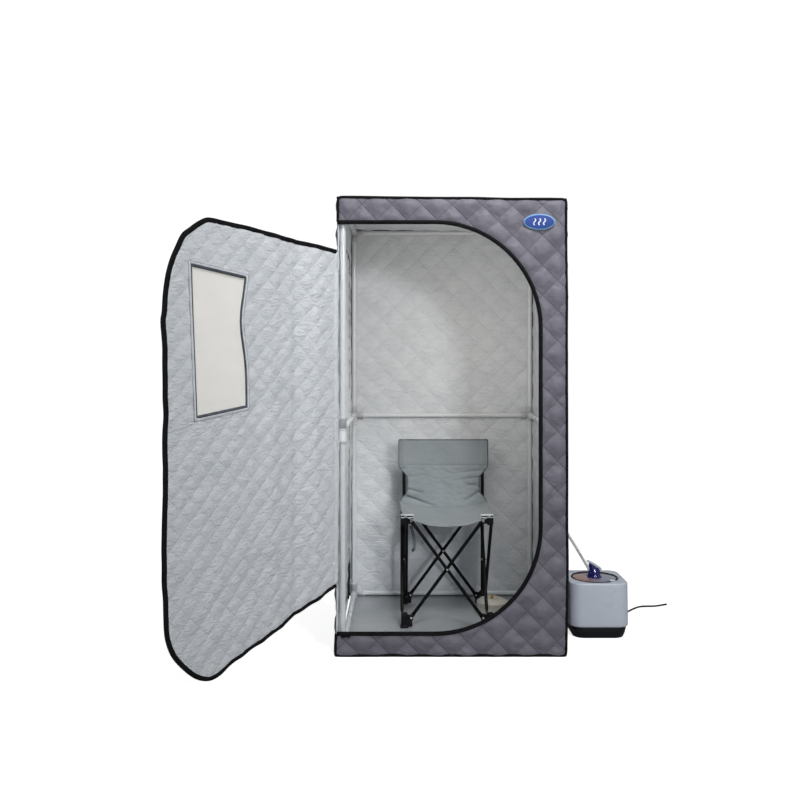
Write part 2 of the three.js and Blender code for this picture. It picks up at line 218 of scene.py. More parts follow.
def uv_from_plan(obj):
    """Cloth coordinates for an upright piece: along the floor and up."""
    co = points_of(obj.data)
    set_uv(obj.data, np.stack([co[:, 0] + co[:, 1], co[:, 2]], 1))
    return obj


def mesh_object(name, verts, faces, materials, face_material=None, uv=None, smooth=True):
    mesh = bpy.data.meshes.new(name)
    mesh.from_pydata(np.asarray(verts, float).tolist(), [], [list(map(int, f)) for f in faces])
    for m in materials:
        mesh.materials.append(m)
    if face_material is not None:
        mesh.polygons.foreach_set("material_index", np.asarray(face_material, dtype=np.int32))
    mesh.polygons.foreach_set("use_smooth", [smooth] * len(mesh.polygons))
    if uv is not None:
        set_uv(mesh, uv)
    mesh.update()
    obj = bpy.data.objects.new(name, mesh)
    bpy.context.scene.collection.objects.link(obj)
    return obj


def stand_for(obj, node):
    """obj takes the place of a CAD node, riding on its body."""
    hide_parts(node)
    return add_on(obj, node)


def add_on(obj, node, finish=None):
    """obj rides on this node's body. finish is not used."""
    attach(obj, body_of_node[node])
    return obj


def part(name, shape, material, node):
    """A piece of one material that takes the place of a CAD node."""
    return stand_for(mesh_object(name, *shape, [material]), node)


def extra(name, shape, material, node, finish=None):
    """A piece of one material that stands for no CAD node."""
    return add_on(mesh_object(name, *shape, [material]), node, finish)


def grid_faces(rows, columns, wrap=False):
    faces = []
    for i in range(rows - 1):
        for j in range(columns if wrap else columns - 1):
            k = (j + 1) % columns
            faces.append((i * columns + j, i * columns + k, (i + 1) * columns + k, (i + 1) * columns + j))
    return faces


def loft(rings):
    """Vertices and faces of a surface through rings of equal length, capped at both ends."""
    rings = [np.asarray(r, float) for r in rings]
    count = len(rings[0])
    verts = np.concatenate([*rings, [rings[0].mean(0), rings[-1].mean(0)]])
    faces = grid_faces(len(rings), count, wrap=True)
    first_cap = len(rings) * count
    last = first_cap - count
    faces += [(first_cap, (j + 1) % count, j) for j in range(count)]
    faces += [(first_cap + 1, last + j, last + (j + 1) % count) for j in range(count)]
    return verts, faces


def joined(shapes):
    """One list of vertices and faces from several."""
    faces, base = [], 0
    for v, f in shapes:
        faces += [tuple(base + i for i in face) for face in f]
        base += len(v)
    return np.concatenate([np.asarray(v, float) for v, _ in shapes]), faces


def circle(radius, count=SIDES):
    turn = np.arange(count) / count * 2 * np.pi
    return np.stack([radius * np.cos(turn), radius * np.sin(turn)], 1)


def flat_section(width, thick, count=14):
    """A tape's section: an ellipse with squared-off sides."""
    c = circle(1.0, count)
    return np.sign(c) * np.abs(c) ** 0.7 * [width / 2, thick / 2]


def basis(direction, side=(0.31, 0.17, 0.93)):
    """Two unit vectors across a direction; the first is as near to side as it can be."""
    d = np.asarray(direction, float) / np.linalg.norm(direction)
    hint = np.asarray(side, float)
    if abs(hint @ d) > 0.99 * np.linalg.norm(hint):
        hint = np.array([1.0, 0.2, 0.1])
    a = hint - (hint @ d) * d
    a /= np.linalg.norm(a)
    return a, np.cross(d, a), d


def turned(profile, start, direction, sides=SIDES):
    """A round body: profile is a list of (radius, distance along direction from start)."""
    a, b, d = basis(direction)
    base = np.asarray(start, float)
    rings = []
    for radius, along in profile:
        c = circle(max(radius, 1e-5), sides)
        rings.append(base + d * along + c[:, :1] * a + c[:, 1:] * b)
    return loft(rings)


def sweep(points, section, out=None, closed=False):
    """Sweeps a section (pairs across and out) along a path. The section may be a function of the share of
    the path, and out says which way its second axis points."""
    p = np.asarray(points, float)
    ahead = np.roll(p, -1, 0) - p
    behind = p - np.roll(p, 1, 0)
    if not closed:
        ahead[-1], behind[0] = behind[-1], ahead[0]
    unit = lambda v: v / np.linalg.norm(v, axis=-1, keepdims=True)
    tangent = unit(unit(ahead) + unit(behind))
    rings = []
    carried = basis(tangent[0])[0] if out is None else np.asarray(out, float)
    for i, t in enumerate(tangent):
        up = unit(carried - (carried @ t) * t)
        if out is None:
            carried = up
        s = section(i / max(len(p) - 1, 1)) if callable(section) else section
        rings.append(p[i] + s[:, :1] * np.cross(up, t) + s[:, 1:] * up)
    if not closed:
        return loft(rings)
    n = len(rings[0])
    last = (len(p) - 1) * n
    faces = grid_faces(len(p), n, wrap=True)
    faces += [(last + j, last + (j + 1) % n, (j + 1) % n, j) for j in range(n)]
    return np.concatenate(rings), faces


def resample(points, step, closed=False):
    """Points at an even step along a polyline."""
    p = np.asarray(points, float)
    if closed:
        p = np.vstack([p, p[:1]])
    length = np.concatenate([[0], np.cumsum(np.linalg.norm(np.diff(p, axis=0), axis=1))])
    count = max(int(round(length[-1] / step)), 3)
    where = np.linspace(0, length[-1], count + 1)
    even = np.stack([np.interp(where, length, p[:, k]) for k in range(p.shape[1])], 1)
    return even[:-1] if closed else even


def rounded(points, passes=3, closed=False):
    """Softens the corners of an evenly spaced polyline."""
    p = np.asarray(points, float).copy()
    for _ in range(passes):
        q = (np.roll(p, 1, 0) + 2 * p + np.roll(p, -1, 0)) / 4
        if not closed:
            q[0], q[-1] = p[0], p[-1]
        p = q
    return p


def round_points(node):
    """The two ends and the radius of a straight round CAD bar."""
    co = vertices(node)
    centre = co.mean(0)
    direction = np.linalg.svd(co - centre, full_matrices=False)[2][0]
    along = (co - centre) @ direction
    radius = np.linalg.norm((co - centre) - np.outer(along, direction), axis=1).max()
    a, b = centre + direction * along.min(), centre + direction * along.max()
    return (b, a, radius) if b[2] < a[2] - 1e-6 else (a, b, radius)


def boundary_edges(faces):
    seen = {}
    for f in faces:
        for a, b in zip(f, f[1:] + f[:1]):
            key = (min(a, b), max(a, b))
            seen[key] = None if key in seen else (a, b)
    return [e for e in seen.values() if e]


def closed_sheet(top, under, faces):
    """A solid between two sheets that share their faces. The last list says where each face is: 0 on top,
    1 under, 2 on the rim."""
    count = len(top)
    faces = [tuple(f) for f in faces]
    rim = [(a, a + count, b + count, b) for a, b in boundary_edges(faces)]
    back = [tuple(i + count for i in f[::-1]) for f in faces]
    sides = [0] * len(faces) + [1] * len(back) + [2] * len(rim)
    return np.vstack([top, under]), faces + back + rim, sides


def thick_sheet(name, grid, thickness, material, uv):
    """A closed sheet from a rows x columns x 3 grid of points."""
    normal = np.cross(np.gradient(grid, axis=1), np.gradient(grid, axis=0))
    normal /= np.linalg.norm(normal, axis=2)[:, :, None]
    top = (grid + normal * thickness / 2).reshape(-1, 3)
    under = (grid - normal * thickness / 2).reshape(-1, 3)
    verts, faces, _ = closed_sheet(top, under, grid_faces(*grid.shape[:2]))
    return mesh_object(name, verts, faces, [material], uv=np.tile(uv.reshape(-1, 2), (2, 1)))


# ---------------------------------------------------------------- materials
class Graph:
    """A short way to write a material's nodes."""

    SOCKETS = {"color": "Base Color", "roughness": "Roughness", "metallic": "Metallic", "normal": "Normal",
               "sheen": "Sheen Weight", "coat": "Coat Weight", "transmission": "Transmission Weight",
               "ior": "IOR", "specular": "Specular IOR Level", "glow": "Emission Strength",
               "glow_colour": "Emission Color"}

    def __init__(self, name):
        self.material = bpy.data.materials.new(name)
        self.material.use_nodes = True
        self.tree = self.material.node_tree
        self.bsdf = self.tree.nodes["Principled BSDF"]

    def node(self, kind, inputs=None, **settings):
        made = self.tree.nodes.new(kind)
        for key, value in settings.items():
            setattr(made, key, value)
        for key, value in (inputs or {}).items():
            self.put(value, made.inputs[key])
        return made

    def put(self, value, socket):
        if isinstance(value, bpy.types.NodeSocket):
            self.tree.links.new(value, socket)
        else:
            socket.default_value = value

    def place(self):
        return self.node("ShaderNodeTexCoord").outputs["Object"]

    def cloth(self):
        """The cloth's own coordinates, in metres."""
        return self.node("ShaderNodeUVMap", uv_map="metres").outputs["UV"]

    def split(self, vector):
        outputs = self.node("ShaderNodeSeparateXYZ", {0: vector}).outputs
        return outputs["X"], outputs["Y"]

    def math(self, operation, a, b=0.0):
        return self.node("ShaderNodeMath", {0: a, 1: b}, operation=operation).outputs[0]

    def times(self, a, b):
        return self.math("MULTIPLY", a, b)

    def off_half(self, value):
        """How far the fraction of a value is from a half."""
        return self.math("ABSOLUTE", self.math("SUBTRACT", self.math("FRACT", value), 0.5))

    def noise(self, vector, scale, detail=4.0, rough=0.55, distortion=0.0):
        inputs = {"Vector": vector, "Scale": scale, "Detail": detail, "Roughness": rough}
        inputs["Distortion"] = distortion
        return self.node("ShaderNodeTexNoise", inputs).outputs["Fac"]

    def spread(self, value, low, high, to_low=0.0, to_high=1.0):
        inputs = {"Value": value, "From Min": low, "From Max": high, "To Min": to_low, "To Max": to_high}
        return self.node("ShaderNodeMapRange", inputs).outputs["Result"]

    def mix(self, factor, a, b):
        made = self.node("ShaderNodeMix", data_type="RGBA", blend_type="MIX")
        for name, value in (("Factor", factor), ("A", a), ("B", b)):
            self.put(value, [s for s in made.inputs if s.name == name and s.enabled][0])
        return [s for s in made.outputs if s.enabled][0]

    def bump(self, height, strength, distance, under=None):
        inputs = {"Height": height, "Strength": strength, "Distance": distance}
        if under is not None:
            inputs["Normal"] = under
        return self.node("ShaderNodeBump", inputs).outputs["Normal"]

    def finish(self, **inputs):
        for key, value in inputs.items():
            self.put(value, self.bsdf.inputs[self.SOCKETS[key]])
        return self.material


def rgb(r, g, b):
    """A colour from its 0 to 255 display values."""
    line = lambda c: c / 12.92 if c <= 0.04045 else ((c + 0.055) / 1.055) ** 2.4
    return (line(r / 255), line(g / 255), line(b / 255), 1.0)


def darker(colour, share):
    return tuple(c * share for c in colour[:3]) + (1.0,)


def stitch_lines(g, uv, cross):
    """Masks of the quilting on the cloth's own coordinates: closeness to a line, and the stitches on it.
    cross is the strength of the second set of lines beside the first."""
    beats_per_diamond, beat_gap = 18.0, 0.35
    u, v = g.split(uv)
    lines, dashes = [], []
    for sign, other, weight in (("ADD", "SUBTRACT", 1.0), ("SUBTRACT", "ADD", cross)):
        across = g.math("DIVIDE", g.math(sign, u, v), QUILT)
        along = g.math("DIVIDE", g.math(other, u, v), QUILT)
        off = g.off_half(g.math("ADD", across, 0.5))
        beat = g.math("GREATER_THAN", g.math("FRACT", g.times(along, beats_per_diamond)), beat_gap)
        lines.append(g.spread(off, 0.008, 0.045, weight, 0.0))
        dashes.append(g.times(g.spread(off, 0.004, 0.011, weight, 0.0), beat))
    return g.math("MAXIMUM", *lines), g.math("MAXIMUM", *dashes)


def quilted(name, colour, shade, thread, roughness, sheen, crinkle, specular, painted_furrow_shade, stitch, cross):
    """Quilted cloth: painted shade darkens the seams' furrows, as strong as groove says, and stitch shows the
    thread in them.
    """
    g = Graph(name)
    uv = g.cloth()
    near, dashes = stitch_lines(g, uv, cross)
    stretched = g.node("ShaderNodeMapping", {"Vector": uv, "Scale": (0.6, 1.5, 1.0)}).outputs["Vector"]
    blotch = g.noise(uv, 9.0, 3.0)
    fibre = g.noise(uv, 900.0, 2.0)
    crease = g.noise(stretched, 38.0, 5.0, 0.62, 1.3)
    pucker = g.noise(stretched, 120.0, 3.0, 0.55, 0.8)
    base = g.mix(g.spread(blotch, 0.35, 0.7), colour, shade)
    # painted shade: the furrows along the stitch lines are darkened, along the second set of lines less where
    # cross is below 1
    base = g.mix(g.times(near, painted_furrow_shade), base, darker(shade, 0.4))
    base = g.mix(g.times(dashes, stitch), base, thread)
    base = g.mix(g.spread(fibre, 0.3, 0.7, 0.0, 0.08), base, (0.0, 0.0, 0.0, 1.0))
    lines = g.bump(g.times(near, -1.0), 0.5, 0.0016)
    folds = g.bump(crease, crinkle, 0.006, lines)
    small = g.bump(pucker, crinkle * 0.5, 0.0022, folds)
    normal = g.bump(fibre, 0.10, 0.0006, small)
    rough = g.spread(crease, 0.3, 0.7, roughness - 0.07, roughness + 0.08)
    return g.finish(color=base, roughness=rough, sheen=sheen, normal=normal, specular=specular)


def woven(name, colour, shade, roughness):
    """Plain-weave cloth: crossed threads as bump and colour, with soft creases."""
    thread_pitch, wear = 0.0011, 0.25
    g = Graph(name)
    uv = g.cloth()
    warp, weft = (g.math("SINE", g.times(axis, 2 * math.pi / thread_pitch)) for axis in g.split(uv))
    weave = g.times(warp, weft)
    base = g.mix(g.spread(g.noise(uv, 7.0, 2.0), 0.35, 0.7), colour, shade)
    base = g.mix(g.spread(weave, -1.0, 1.0, 0.0, wear), base, darker(shade, 0.4))
    normal = g.bump(weave, 0.25, 0.0004, g.bump(g.noise(uv, 24.0, 5.0, 0.6, 0.8), 0.35, 0.006))
    return g.finish(color=base, roughness=roughness, sheen=0.15, normal=normal)


def moulded(name, colour, roughness, grain=0.06, scale=700.0, **more):
    """Moulded plastic or paint with a fine grain and a little unevenness."""
    g = Graph(name)
    where = g.place()
    broad = g.noise(where, 22.0, 3.0)
    base = g.mix(g.spread(broad, 0.3, 0.75, 0.0, 0.12), colour, darker(colour, 0.6))
    rough = g.spread(broad, 0.3, 0.7, roughness - 0.05, roughness + 0.06)
    normal = g.bump(g.noise(where, scale, 2.0), grain, 0.0006)
    return g.finish(color=base, roughness=rough, normal=normal, **more)


def ribbed_tape(name, colour):
    """Bias tape: a fine rib along its length."""
    g = Graph(name)
    where = g.place()
    worn = tuple(min(c * 2.2 + 0.004, 1) for c in colour[:3]) + (1.0,)
    base = g.mix(g.spread(g.noise(where, 30.0, 3.0), 0.3, 0.7, 0.0, 0.5), colour, worn)
    normal = g.bump(g.noise(where, 1500.0, 2.0), 0.35, 0.0008)
    return g.finish(color=base, roughness=0.62, specular=0.10, normal=normal)


def plain_thread(name, colour):
    """Embroidery thread, in fine even rows."""
    g = Graph(name)
    where = g.place()
    wave = g.node("ShaderNodeTexWave", {"Vector": where, "Scale": 420.0, "Distortion": 1.5}).outputs["Fac"]
    base = g.mix(g.spread(wave, 0.0, 1.0, 0.0, 0.25), colour, darker(colour, 0.5))
    return g.finish(color=base, roughness=0.55, sheen=0.3, normal=g.bump(wave, 0.3, 0.0006))


def window_film():
    """Frosted sheet with a faint haze and ripples, and a faint painted glow."""
    g = Graph("window_film")
    uv = g.cloth()
    base = g.mix(g.spread(g.noise(uv, 14.0, 3.0), 0.3, 0.7), rgb(240, 238, 233), rgb(235, 233, 228))
    normal = g.bump(g.noise(uv, 30.0, 3.0, 0.5, 0.6), 0.15, 0.004)
    # painted light: a faint emission makes the film brighter than the lamps light it
    return g.finish(color=base, roughness=0.34, normal=normal, coat=0.2, glow=0.03,
                    glow_colour=rgb(250, 248, 240))


def mat_cloth():
    """Coated floor cloth: glossy, with a fine net of threads under the coating and shallow creases."""
    net_pitch = 0.0085
    g = Graph("floor_cloth")
    uv = g.cloth()
    net = [g.spread(g.off_half(g.math("DIVIDE", axis, net_pitch)), 0.40, 0.48) for axis in g.split(uv)]
    net = g.math("MAXIMUM", *net)
    crease = g.noise(uv, 6.0, 3.0, 0.5, 0.9)
    base = g.mix(g.spread(g.noise(uv, 2.6, 2.0), 0.3, 0.7), rgb(168, 173, 177), rgb(150, 155, 159))
    base = g.mix(g.times(net, 0.22), base, rgb(86, 90, 93))
    normal = g.bump(net, 0.15, 0.0005, g.bump(crease, 0.35, 0.010))
    return g.finish(color=base, roughness=g.spread(crease, 0.3, 0.7, 0.26, 0.42), normal=normal, coat=0.25)


def clear_lid(centre):
    """Clear lid: its left side is painted copper, a painted reflection of the heater, fading to lilac grey on the
    right.
    """
    g = Graph("clear_lid")
    where = g.place()
    cloud = g.times(g.noise(where, 30.0, 2.0, 0.5, 0.4), 0.05)
    x = g.math("ADD", g.split(where)[0], cloud)
    # painted reflection: the heater's copper painted on the lid's left side
    base = g.mix(g.spread(x, centre[0] - 0.035, centre[0] + 0.040), rgb(206, 150, 132), rgb(172, 174, 198))
    return g.finish(color=base, roughness=0.08, transmission=0.45, ior=1.49, coat=0.5)


def stage_material():
    """A pale floor that melts into the backdrop and keeps a faint contact shadow."""
    g = Graph("studio_floor")
    seen = g.node("ShaderNodeLightPath").outputs["Is Camera Ray"]
    blotch = g.spread(g.noise(g.place(), 1.2, 2.0), 0.3, 0.7)
    pale = g.mix(blotch, (0.80, 0.80, 0.80, 1.0), (0.78, 0.78, 0.78, 1.0))
    base = g.mix(seen, (0.30, 0.30, 0.31, 1.0), pale)
    glow = g.times(seen, 0.78)
    return g.finish(color=base, roughness=0.9, specular=0.0, glow=glow, glow_colour=(1.0, 1.0, 1.0, 1.0))


MAT = {
    # groove sets how dark the painted shade in the stitch furrows is
    "outer": quilted("quilt_outer", rgb(113, 111, 122), rgb(100, 98, 109), rgb(62, 60, 72),
                     roughness=0.50, sheen=0.08, crinkle=0.34, specular=0.40, painted_furrow_shade=0.45, stitch=0.5,
                     cross=0.7),
    "lining": quilted("quilt_lining", rgb(222, 226, 230), rgb(212, 217, 222), rgb(196, 201, 206),
                      roughness=0.45, sheen=0.0, crinkle=1.0, specular=0.35, painted_furrow_shade=0.07, stitch=0.08,
                      cross=1.0),
    "tape": ribbed_tape("edge_tape", rgb(13, 13, 15)),
    "coil": moulded("zip_coil", rgb(16, 16, 18), 0.45, 0.5, 1200.0, specular=0.12),
    "pvc": moulded("white_pipe", rgb(214, 217, 220), 0.28, 0.03, 300.0, coat=0.25),
    "fitting": moulded("white_fitting", rgb(204, 207, 210), 0.38, 0.06, 500.0),
    "steel": moulded("black_steel", rgb(9, 9, 11), 0.42, 0.10, 1100.0, specular=0.14),
    "chair_plastic": moulded("black_plastic", rgb(16, 16, 18), 0.5, 0.25, 1500.0, specular=0.18),
    "rivet": moulded("rivet", rgb(215, 215, 212), 0.28, 0.08, 900.0, metallic=0.9),
    "sling": woven("sling_cloth", rgb(137, 145, 149), rgb(127, 135, 139), 0.78),
    "sling_edge": ribbed_tape("sling_edge", rgb(72, 76, 82)),
    "seam": ribbed_tape("seam_thread", rgb(150, 154, 160)),
    "white": moulded("pot_white", rgb(200, 207, 219), 0.30, 0.05, 900.0, coat=0.2),
    "black": moulded("pot_black", rgb(22, 26, 30), 0.42, 0.12, 1300.0, specular=0.35),
    "gasket": moulded("gasket", rgb(12, 12, 14), 0.55, 0.1, 900.0, specular=0.2),
    "blue": moulded("clear_blue", rgb(40, 38, 140), 0.12, 0.02, 300.0, coat=0.4, transmission=0.55,
                    ior=1.47),
    "hose": moulded("hose_silicone", rgb(228, 230, 230), 0.3, 0.05, 500.0, coat=0.2, transmission=0.25,
                    ior=1.41),
    "cord": moulded("cord_black", rgb(12, 12, 14), 0.5, 0.2, 1400.0, specular=0.15),
    "cream": moulded("herb_cream", rgb(226, 222, 208), 0.36, 0.05, 600.0, coat=0.1, transmission=0.2,
                     ior=1.45),
    "brass": moulded("brass", rgb(176, 140, 60), 0.3, 0.1, 600.0, metallic=0.9),
    "copper": moulded("heater_copper", rgb(196, 120, 92), 0.25, 0.1, 500.0, metallic=0.9),
}

RELIEF = simulate_swatch()


# ---------------------------------------------------------------- quilted cover
def settle(points):
    """The cover hangs a little out of true: its edges wander and its foot flares over the floor."""
    flare_left, flare_right, flare_height = 0.007, -0.002, 0.13
    crown_low, crown_slope = 0.0025, 0.0038
    x, y, z = points.T
    flare = hump(z, 0, flare_height) * (flare_left * (x < 0) + flare_right * (x > 0))
    sway = 0.0028 * noise(z, y * 0.6, 0.30, 16) * ramp(z, 0, 0.3)
    drop = crown_low - crown_slope * (x / RIGHT + 1)
    rim = smooth(np.abs(x), 0.33, 0.40)
    return xyz(x + np.sign(x) * rim * (flare + sway), y, z + smooth(z, 1.53, 1.60) * drop)


def cloth_panel(name, flat, faces, place, normal, seed, rim_cloth, calm, hang=lambda verts: verts,
                diamond=QUILT):
    """A closed, quilted, two-sided panel. flat holds each point's cloth coordinates, place gives its
    place in space, normal the outward direction, calm (0 to 1) flattens the wadding at seams and
    hang moves the finished points. diamond is the diagonal of its quilting."""
    cloth = flat * (QUILT / diamond)
    u, v = cloth.T
    puff = pillow(u, v) * (1 + 0.18 * noise(u, v, 0.09, seed + 7)) * calm * (diamond / QUILT) ** 0.6
    wave = ripples(u, v, seed) * calm
    normal = np.array(normal, float)
    base = place(flat)
    out = base + normal * (CLOTH / 2 + PUFF_OUT * puff + wave)[:, None]
    inn = base - normal * (CLOTH / 2 + PUFF_IN * puff - wave)[:, None]
    a, b, c = (out[i] for i in faces[0][:3])
    if np.cross(b - a, c - a) @ normal < 0:
        faces = [tuple(f)[::-1] for f in faces]
    verts, faces, sides = closed_sheet(out, inn, faces)
    materials = [MAT["outer"], MAT["lining"], MAT[rim_cloth]]
    return mesh_object(name, hang(verts), faces, materials, sides, np.vstack([cloth, cloth]))


def edge_calm(flat, low, high, reach=0.02):
    """0 at the edge of a rectangle and 1 past reach, smoothly."""
    u, v = flat.T
    gap = np.minimum.reduce([u - low[0], high[0] - u, v - low[1], high[1] - v])
    return smooth(gap, 0, reach)


def rectangle_grid(low, high, step=GRID):
    columns = int(round((high[0] - low[0]) / step)) + 1
    rows = int(round((high[1] - low[1]) / step)) + 1
    u, v = np.meshgrid(np.linspace(low[0], high[0], columns), np.linspace(low[1], high[1], rows))
    return np.stack([u.ravel(), v.ravel()], 1), grid_faces(rows, columns)


def corners_of(low, high):
    return np.array([[low[0], low[1]], [high[0], low[1]], [high[0], high[1]], [low[0], high[1]]])


def inside_polygon(points, polygon):
    x, y = points.T
    inside = np.zeros(len(points), bool)
    for (x1, y1), (x2, y2) in zip(polygon, np.roll(polygon, -1, 0)):
        if y1 != y2:
            crosses = (y1 > y) != (y2 > y)
            inside ^= crosses & (x < (x2 - x1) * (y - y1) / (y2 - y1) + x1)
    return inside


def between(points, outline, holes):
    """Which points are inside the outline and in none of the holes."""
    keep = inside_polygon(points, outline)
    for hole in holes:
        keep &= ~inside_polygon(points, hole)
    return keep


def distance_to(points, line):
    """Distance of each point to a closed line."""
    line = resample(line, 0.004, True)
    chunks = [line[start:start + 64] for start in range(0, len(line), 64)]
    return np.minimum.reduce([np.linalg.norm(points[:, None, :] - c[None], axis=2).min(1) for c in chunks])


def cut_sheet(outline, holes=(), step=GRID):
    """Points and triangles filling an outline with holes, with evenly spaced points inside."""
    row_height, closest = step * 0.87, step * 0.55
    loops = [resample(loop, step, True) for loop in (outline, *holes)]
    low, high = loops[0].min(0), loops[0].max(0)
    xs, ys = np.arange(low[0], high[0], step), np.arange(low[1], high[1], row_height)
    grid = np.array([(x + (k % 2) * step / 2, y) for k, y in enumerate(ys) for x in xs])
    grid = grid[between(grid, loops[0], loops[1:])]
    edges, base = [], 0
    for loop in loops:
        grid = grid[distance_to(grid, loop) > closest]
        edges += [(base + i, base + (i + 1) % len(loop)) for i in range(len(loop))]
        base += len(loop)
    made = delaunay_2d_cdt([Vector(p) for p in np.concatenate([*loops, grid])], edges, [], 0, 1e-7)
    flat, tris = np.array([tuple(p) for p in made[0]]), np.array(made[2])
    keep = between(flat[tris].mean(1), loops[0], loops[1:])
    return flat, [tuple(int(i) for i in t) for t in tris[keep]]


def doorway_outline():
    """The doorway's edge from its top left, round the right side, to its bottom left."""
    co = vertices("cover_front")
    face = np.unique(np.round(co[np.isclose(co[:, 1], FRONT, atol=1e-5)][:, [0, 2]], 5), axis=0)
    inner = face[(face[:, 0] < RIGHT - 1e-4) & (face[:, 1] > 1e-4) & (face[:, 1] < ROOF - 1e-4)]
    right, top, bottom = inner[:, 0].max(), inner[:, 1].max(), inner[:, 1].min()
    radius = top - inner[np.isclose(inner[:, 0], right, atol=1e-4)][:, 1].max()
    turn = np.linspace(0, np.pi / 2, 40)
    upper = np.stack([right - radius + radius * np.sin(turn), top - radius + radius * np.cos(turn)], 1)
    lower = np.stack([right - radius + radius * np.cos(turn), bottom + radius - radius * np.sin(turn)], 1)
    return np.vstack([[LEFT, top], upper, lower, [LEFT, bottom]])


DOORWAY = doorway_outline()


def build_front_panel():
    """The quilted front round the doorway."""
    outline = np.vstack([DOORWAY, [[LEFT, 0], [RIGHT, 0], [RIGHT, ROOF], [LEFT, ROOF]]])
    flat, faces = cut_sheet(outline)
    calm = ramp(distance_to(flat, outline), 0, 0.020) ** 0.6
    place = lambda f: xyz(f[:, 0], FRONT + CLOTH / 2, f[:, 1])
    panel = cloth_panel("front_panel", flat, faces, place, TO_FRONT, 3, "tape", calm, settle)
    stand_for(panel, "cover_front")


def billow(flat, seed):
    """How far a side panel stands out between the rails."""
    return 0.003 * noise(*flat.T, 0.33, seed)


def roof_sag(flat):
    """The roof hangs a little between the rails."""
    x, y = ramp(flat[:, 0], LEFT, RIGHT), ramp(flat[:, 1], FRONT, BACK)
    return -0.010 * np.sin(np.pi * x) * np.sin(np.pi * y)


WALL_ZIP = 0.190         # where the zip stands along the left wall
WALL_ZIP_TOP = 1.448
WALL_SLIT = np.array([[0.050, 0.058], [0.130, 0.060], [0.178, 0.130], [WALL_ZIP, 0.192], [0.140, 0.170],
                      [0.085, 0.115]])


def patch(corners, x, thickness):
    """A flat patch on a side wall: its outline as (y, z) corners and the wall's x."""
    edge = rounded(resample(np.array(corners), 0.006, True), 2, True)
    centre = edge.mean(0)
    return loft([xyz(x + thickness * out, *(centre + (edge - centre) * share).T)
                 for out, share in ((0, 1), (1, 1), (1.3, 0.92))])


def build_wall_zip():
    """The zip up the inside of the left wall: a coil, a tab at its head and an open slit at its foot."""
    inner, outer = LEFT + CLOTH + 0.0035, LEFT - 0.003
    y = WALL_ZIP
    heights = np.linspace(WALL_SLIT[3, 1], WALL_ZIP_TOP, 110)
    line = xyz(inner, y + 0.0025 * noise(heights, 0 * heights, 0.12, 17), heights)
    seam = line + [outer - inner + 0.0015, 0.0, 0.0]
    lip = rounded(resample(xyz(inner, *WALL_SLIT[1:4].T), 0.008), 2)
    binding = xyz(outer, *rounded(resample(WALL_SLIT, 0.008, True), 2, True).T)
    tab = [(y - 0.22, 1.462), (y - 0.13, 1.470), (y + 0.010, 1.446), (y + 0.014, 1.405), (y - 0.016, 1.400),
           (y - 0.080, 1.432)]
    foot = [(y - 0.090, 0.178), (y - 0.006, 0.212), (y + 0.016, 0.205), (y + 0.008, 0.160),
            (y - 0.040, 0.170)]
    for name, shape, material in (
        ("wall_zip", sweep(line, circle(0.0013, 8)), "coil"),
        ("wall_zip_lip", sweep(lip, circle(0.0045, 10)), "tape"),
        ("wall_slit_binding", sweep(binding, circle(0.0042, 10), closed=True), "tape"),
        ("wall_zip_outer", sweep(seam, circle(0.0026, 8)), "coil"),
        ("wall_zip_tab", patch(tab, inner - 0.0008, 0.0022), "tape"),
        ("wall_zip_foot", patch(foot, inner - 0.0008, 0.0022), "tape"),
    ):
        extra(name, shape, MAT[material], "cover_shell", "zip_slider")


def build_shell():
    """Sides, back and roof of the cover; the first one stands for the CAD shell."""
    t = CLOTH / 2
    y0, y1 = FRONT + CLOTH, BACK
    for name, low, high, place, normal, seed in (
        ("left_wall", (y0, 0), (y1, ROOF), lambda f: xyz(LEFT + t - billow(f, 11), *f.T), (-1, 0, 0), 11),
        ("right_wall", (y0, 0), (y1, ROOF), lambda f: xyz(RIGHT - t + billow(f, 12), *f.T), (1, 0, 0), 12),
        ("back_wall", (LEFT, 0), (RIGHT, ROOF), lambda f: xyz(f[:, 0], BACK - t + billow(f, 13), f[:, 1]),
         (0, 1, 0), 13),
        ("roof", (LEFT, y0), (RIGHT, y1), lambda f: xyz(*f.T, ROOF - t + roof_sag(f)), (0, 0, 1), 14),
    ):
        slit = name == "left_wall"
        flat, faces = cut_sheet(corners_of(low, high), [WALL_SLIT]) if slit else rectangle_grid(low, high)
        calm = edge_calm(flat, low, high) * (ramp(distance_to(flat, WALL_SLIT), 0, 0.018) if slit else 1)
        panel = cloth_panel(name, flat, faces, place, normal, seed, "lining", calm, settle)
        (stand_for if slit else add_on)(panel, "cover_shell")


def build_piping(name, points, seed, closed=False):
    path = rounded(resample(points, 0.010, closed), 1, closed)
    run = np.arange(len(path)) * 0.012
    sway = np.stack([noise(run, 0 * run + k * 3.1, 0.16, seed + k) for k in range(3)], 1)
    shape = sweep(settle(path + sway * 0.0012), circle(PIPING, 12), closed=closed)
    extra(name, shape, MAT["tape"], "cover_shell", "zip_slider")


def build_edges():
    """Black piping on the cabin's edges; the front edge beside the hinge has none."""
    x, y0, y1, z0, z1 = RIGHT, FRONT + 0.001, BACK - 0.001, PIPING, ROOF - 0.001
    bottom, top = DOORWAY[-1, 1], DOORWAY[0, 1]
    round_front = [(LEFT, y0, bottom), (-x, y0, z0), (x, y0, z0), (x, y0, z1), (-x, y0, z1), (LEFT, y0, top)]
    build_piping("piping_front", round_front, 21)
    build_piping("piping_back", [(-x, y1, z0), (x, y1, z0), (x, y1, z1), (-x, y1, z1)], 22, closed=True)
    for i, (side, z) in enumerate(((-x, z0), (x, z0), (-x, z1), (x, z1))):
        build_piping(f"piping_side_{i}", [(side, y0 + 0.004, z), (side, y1 - 0.004, z)], 31 + i)


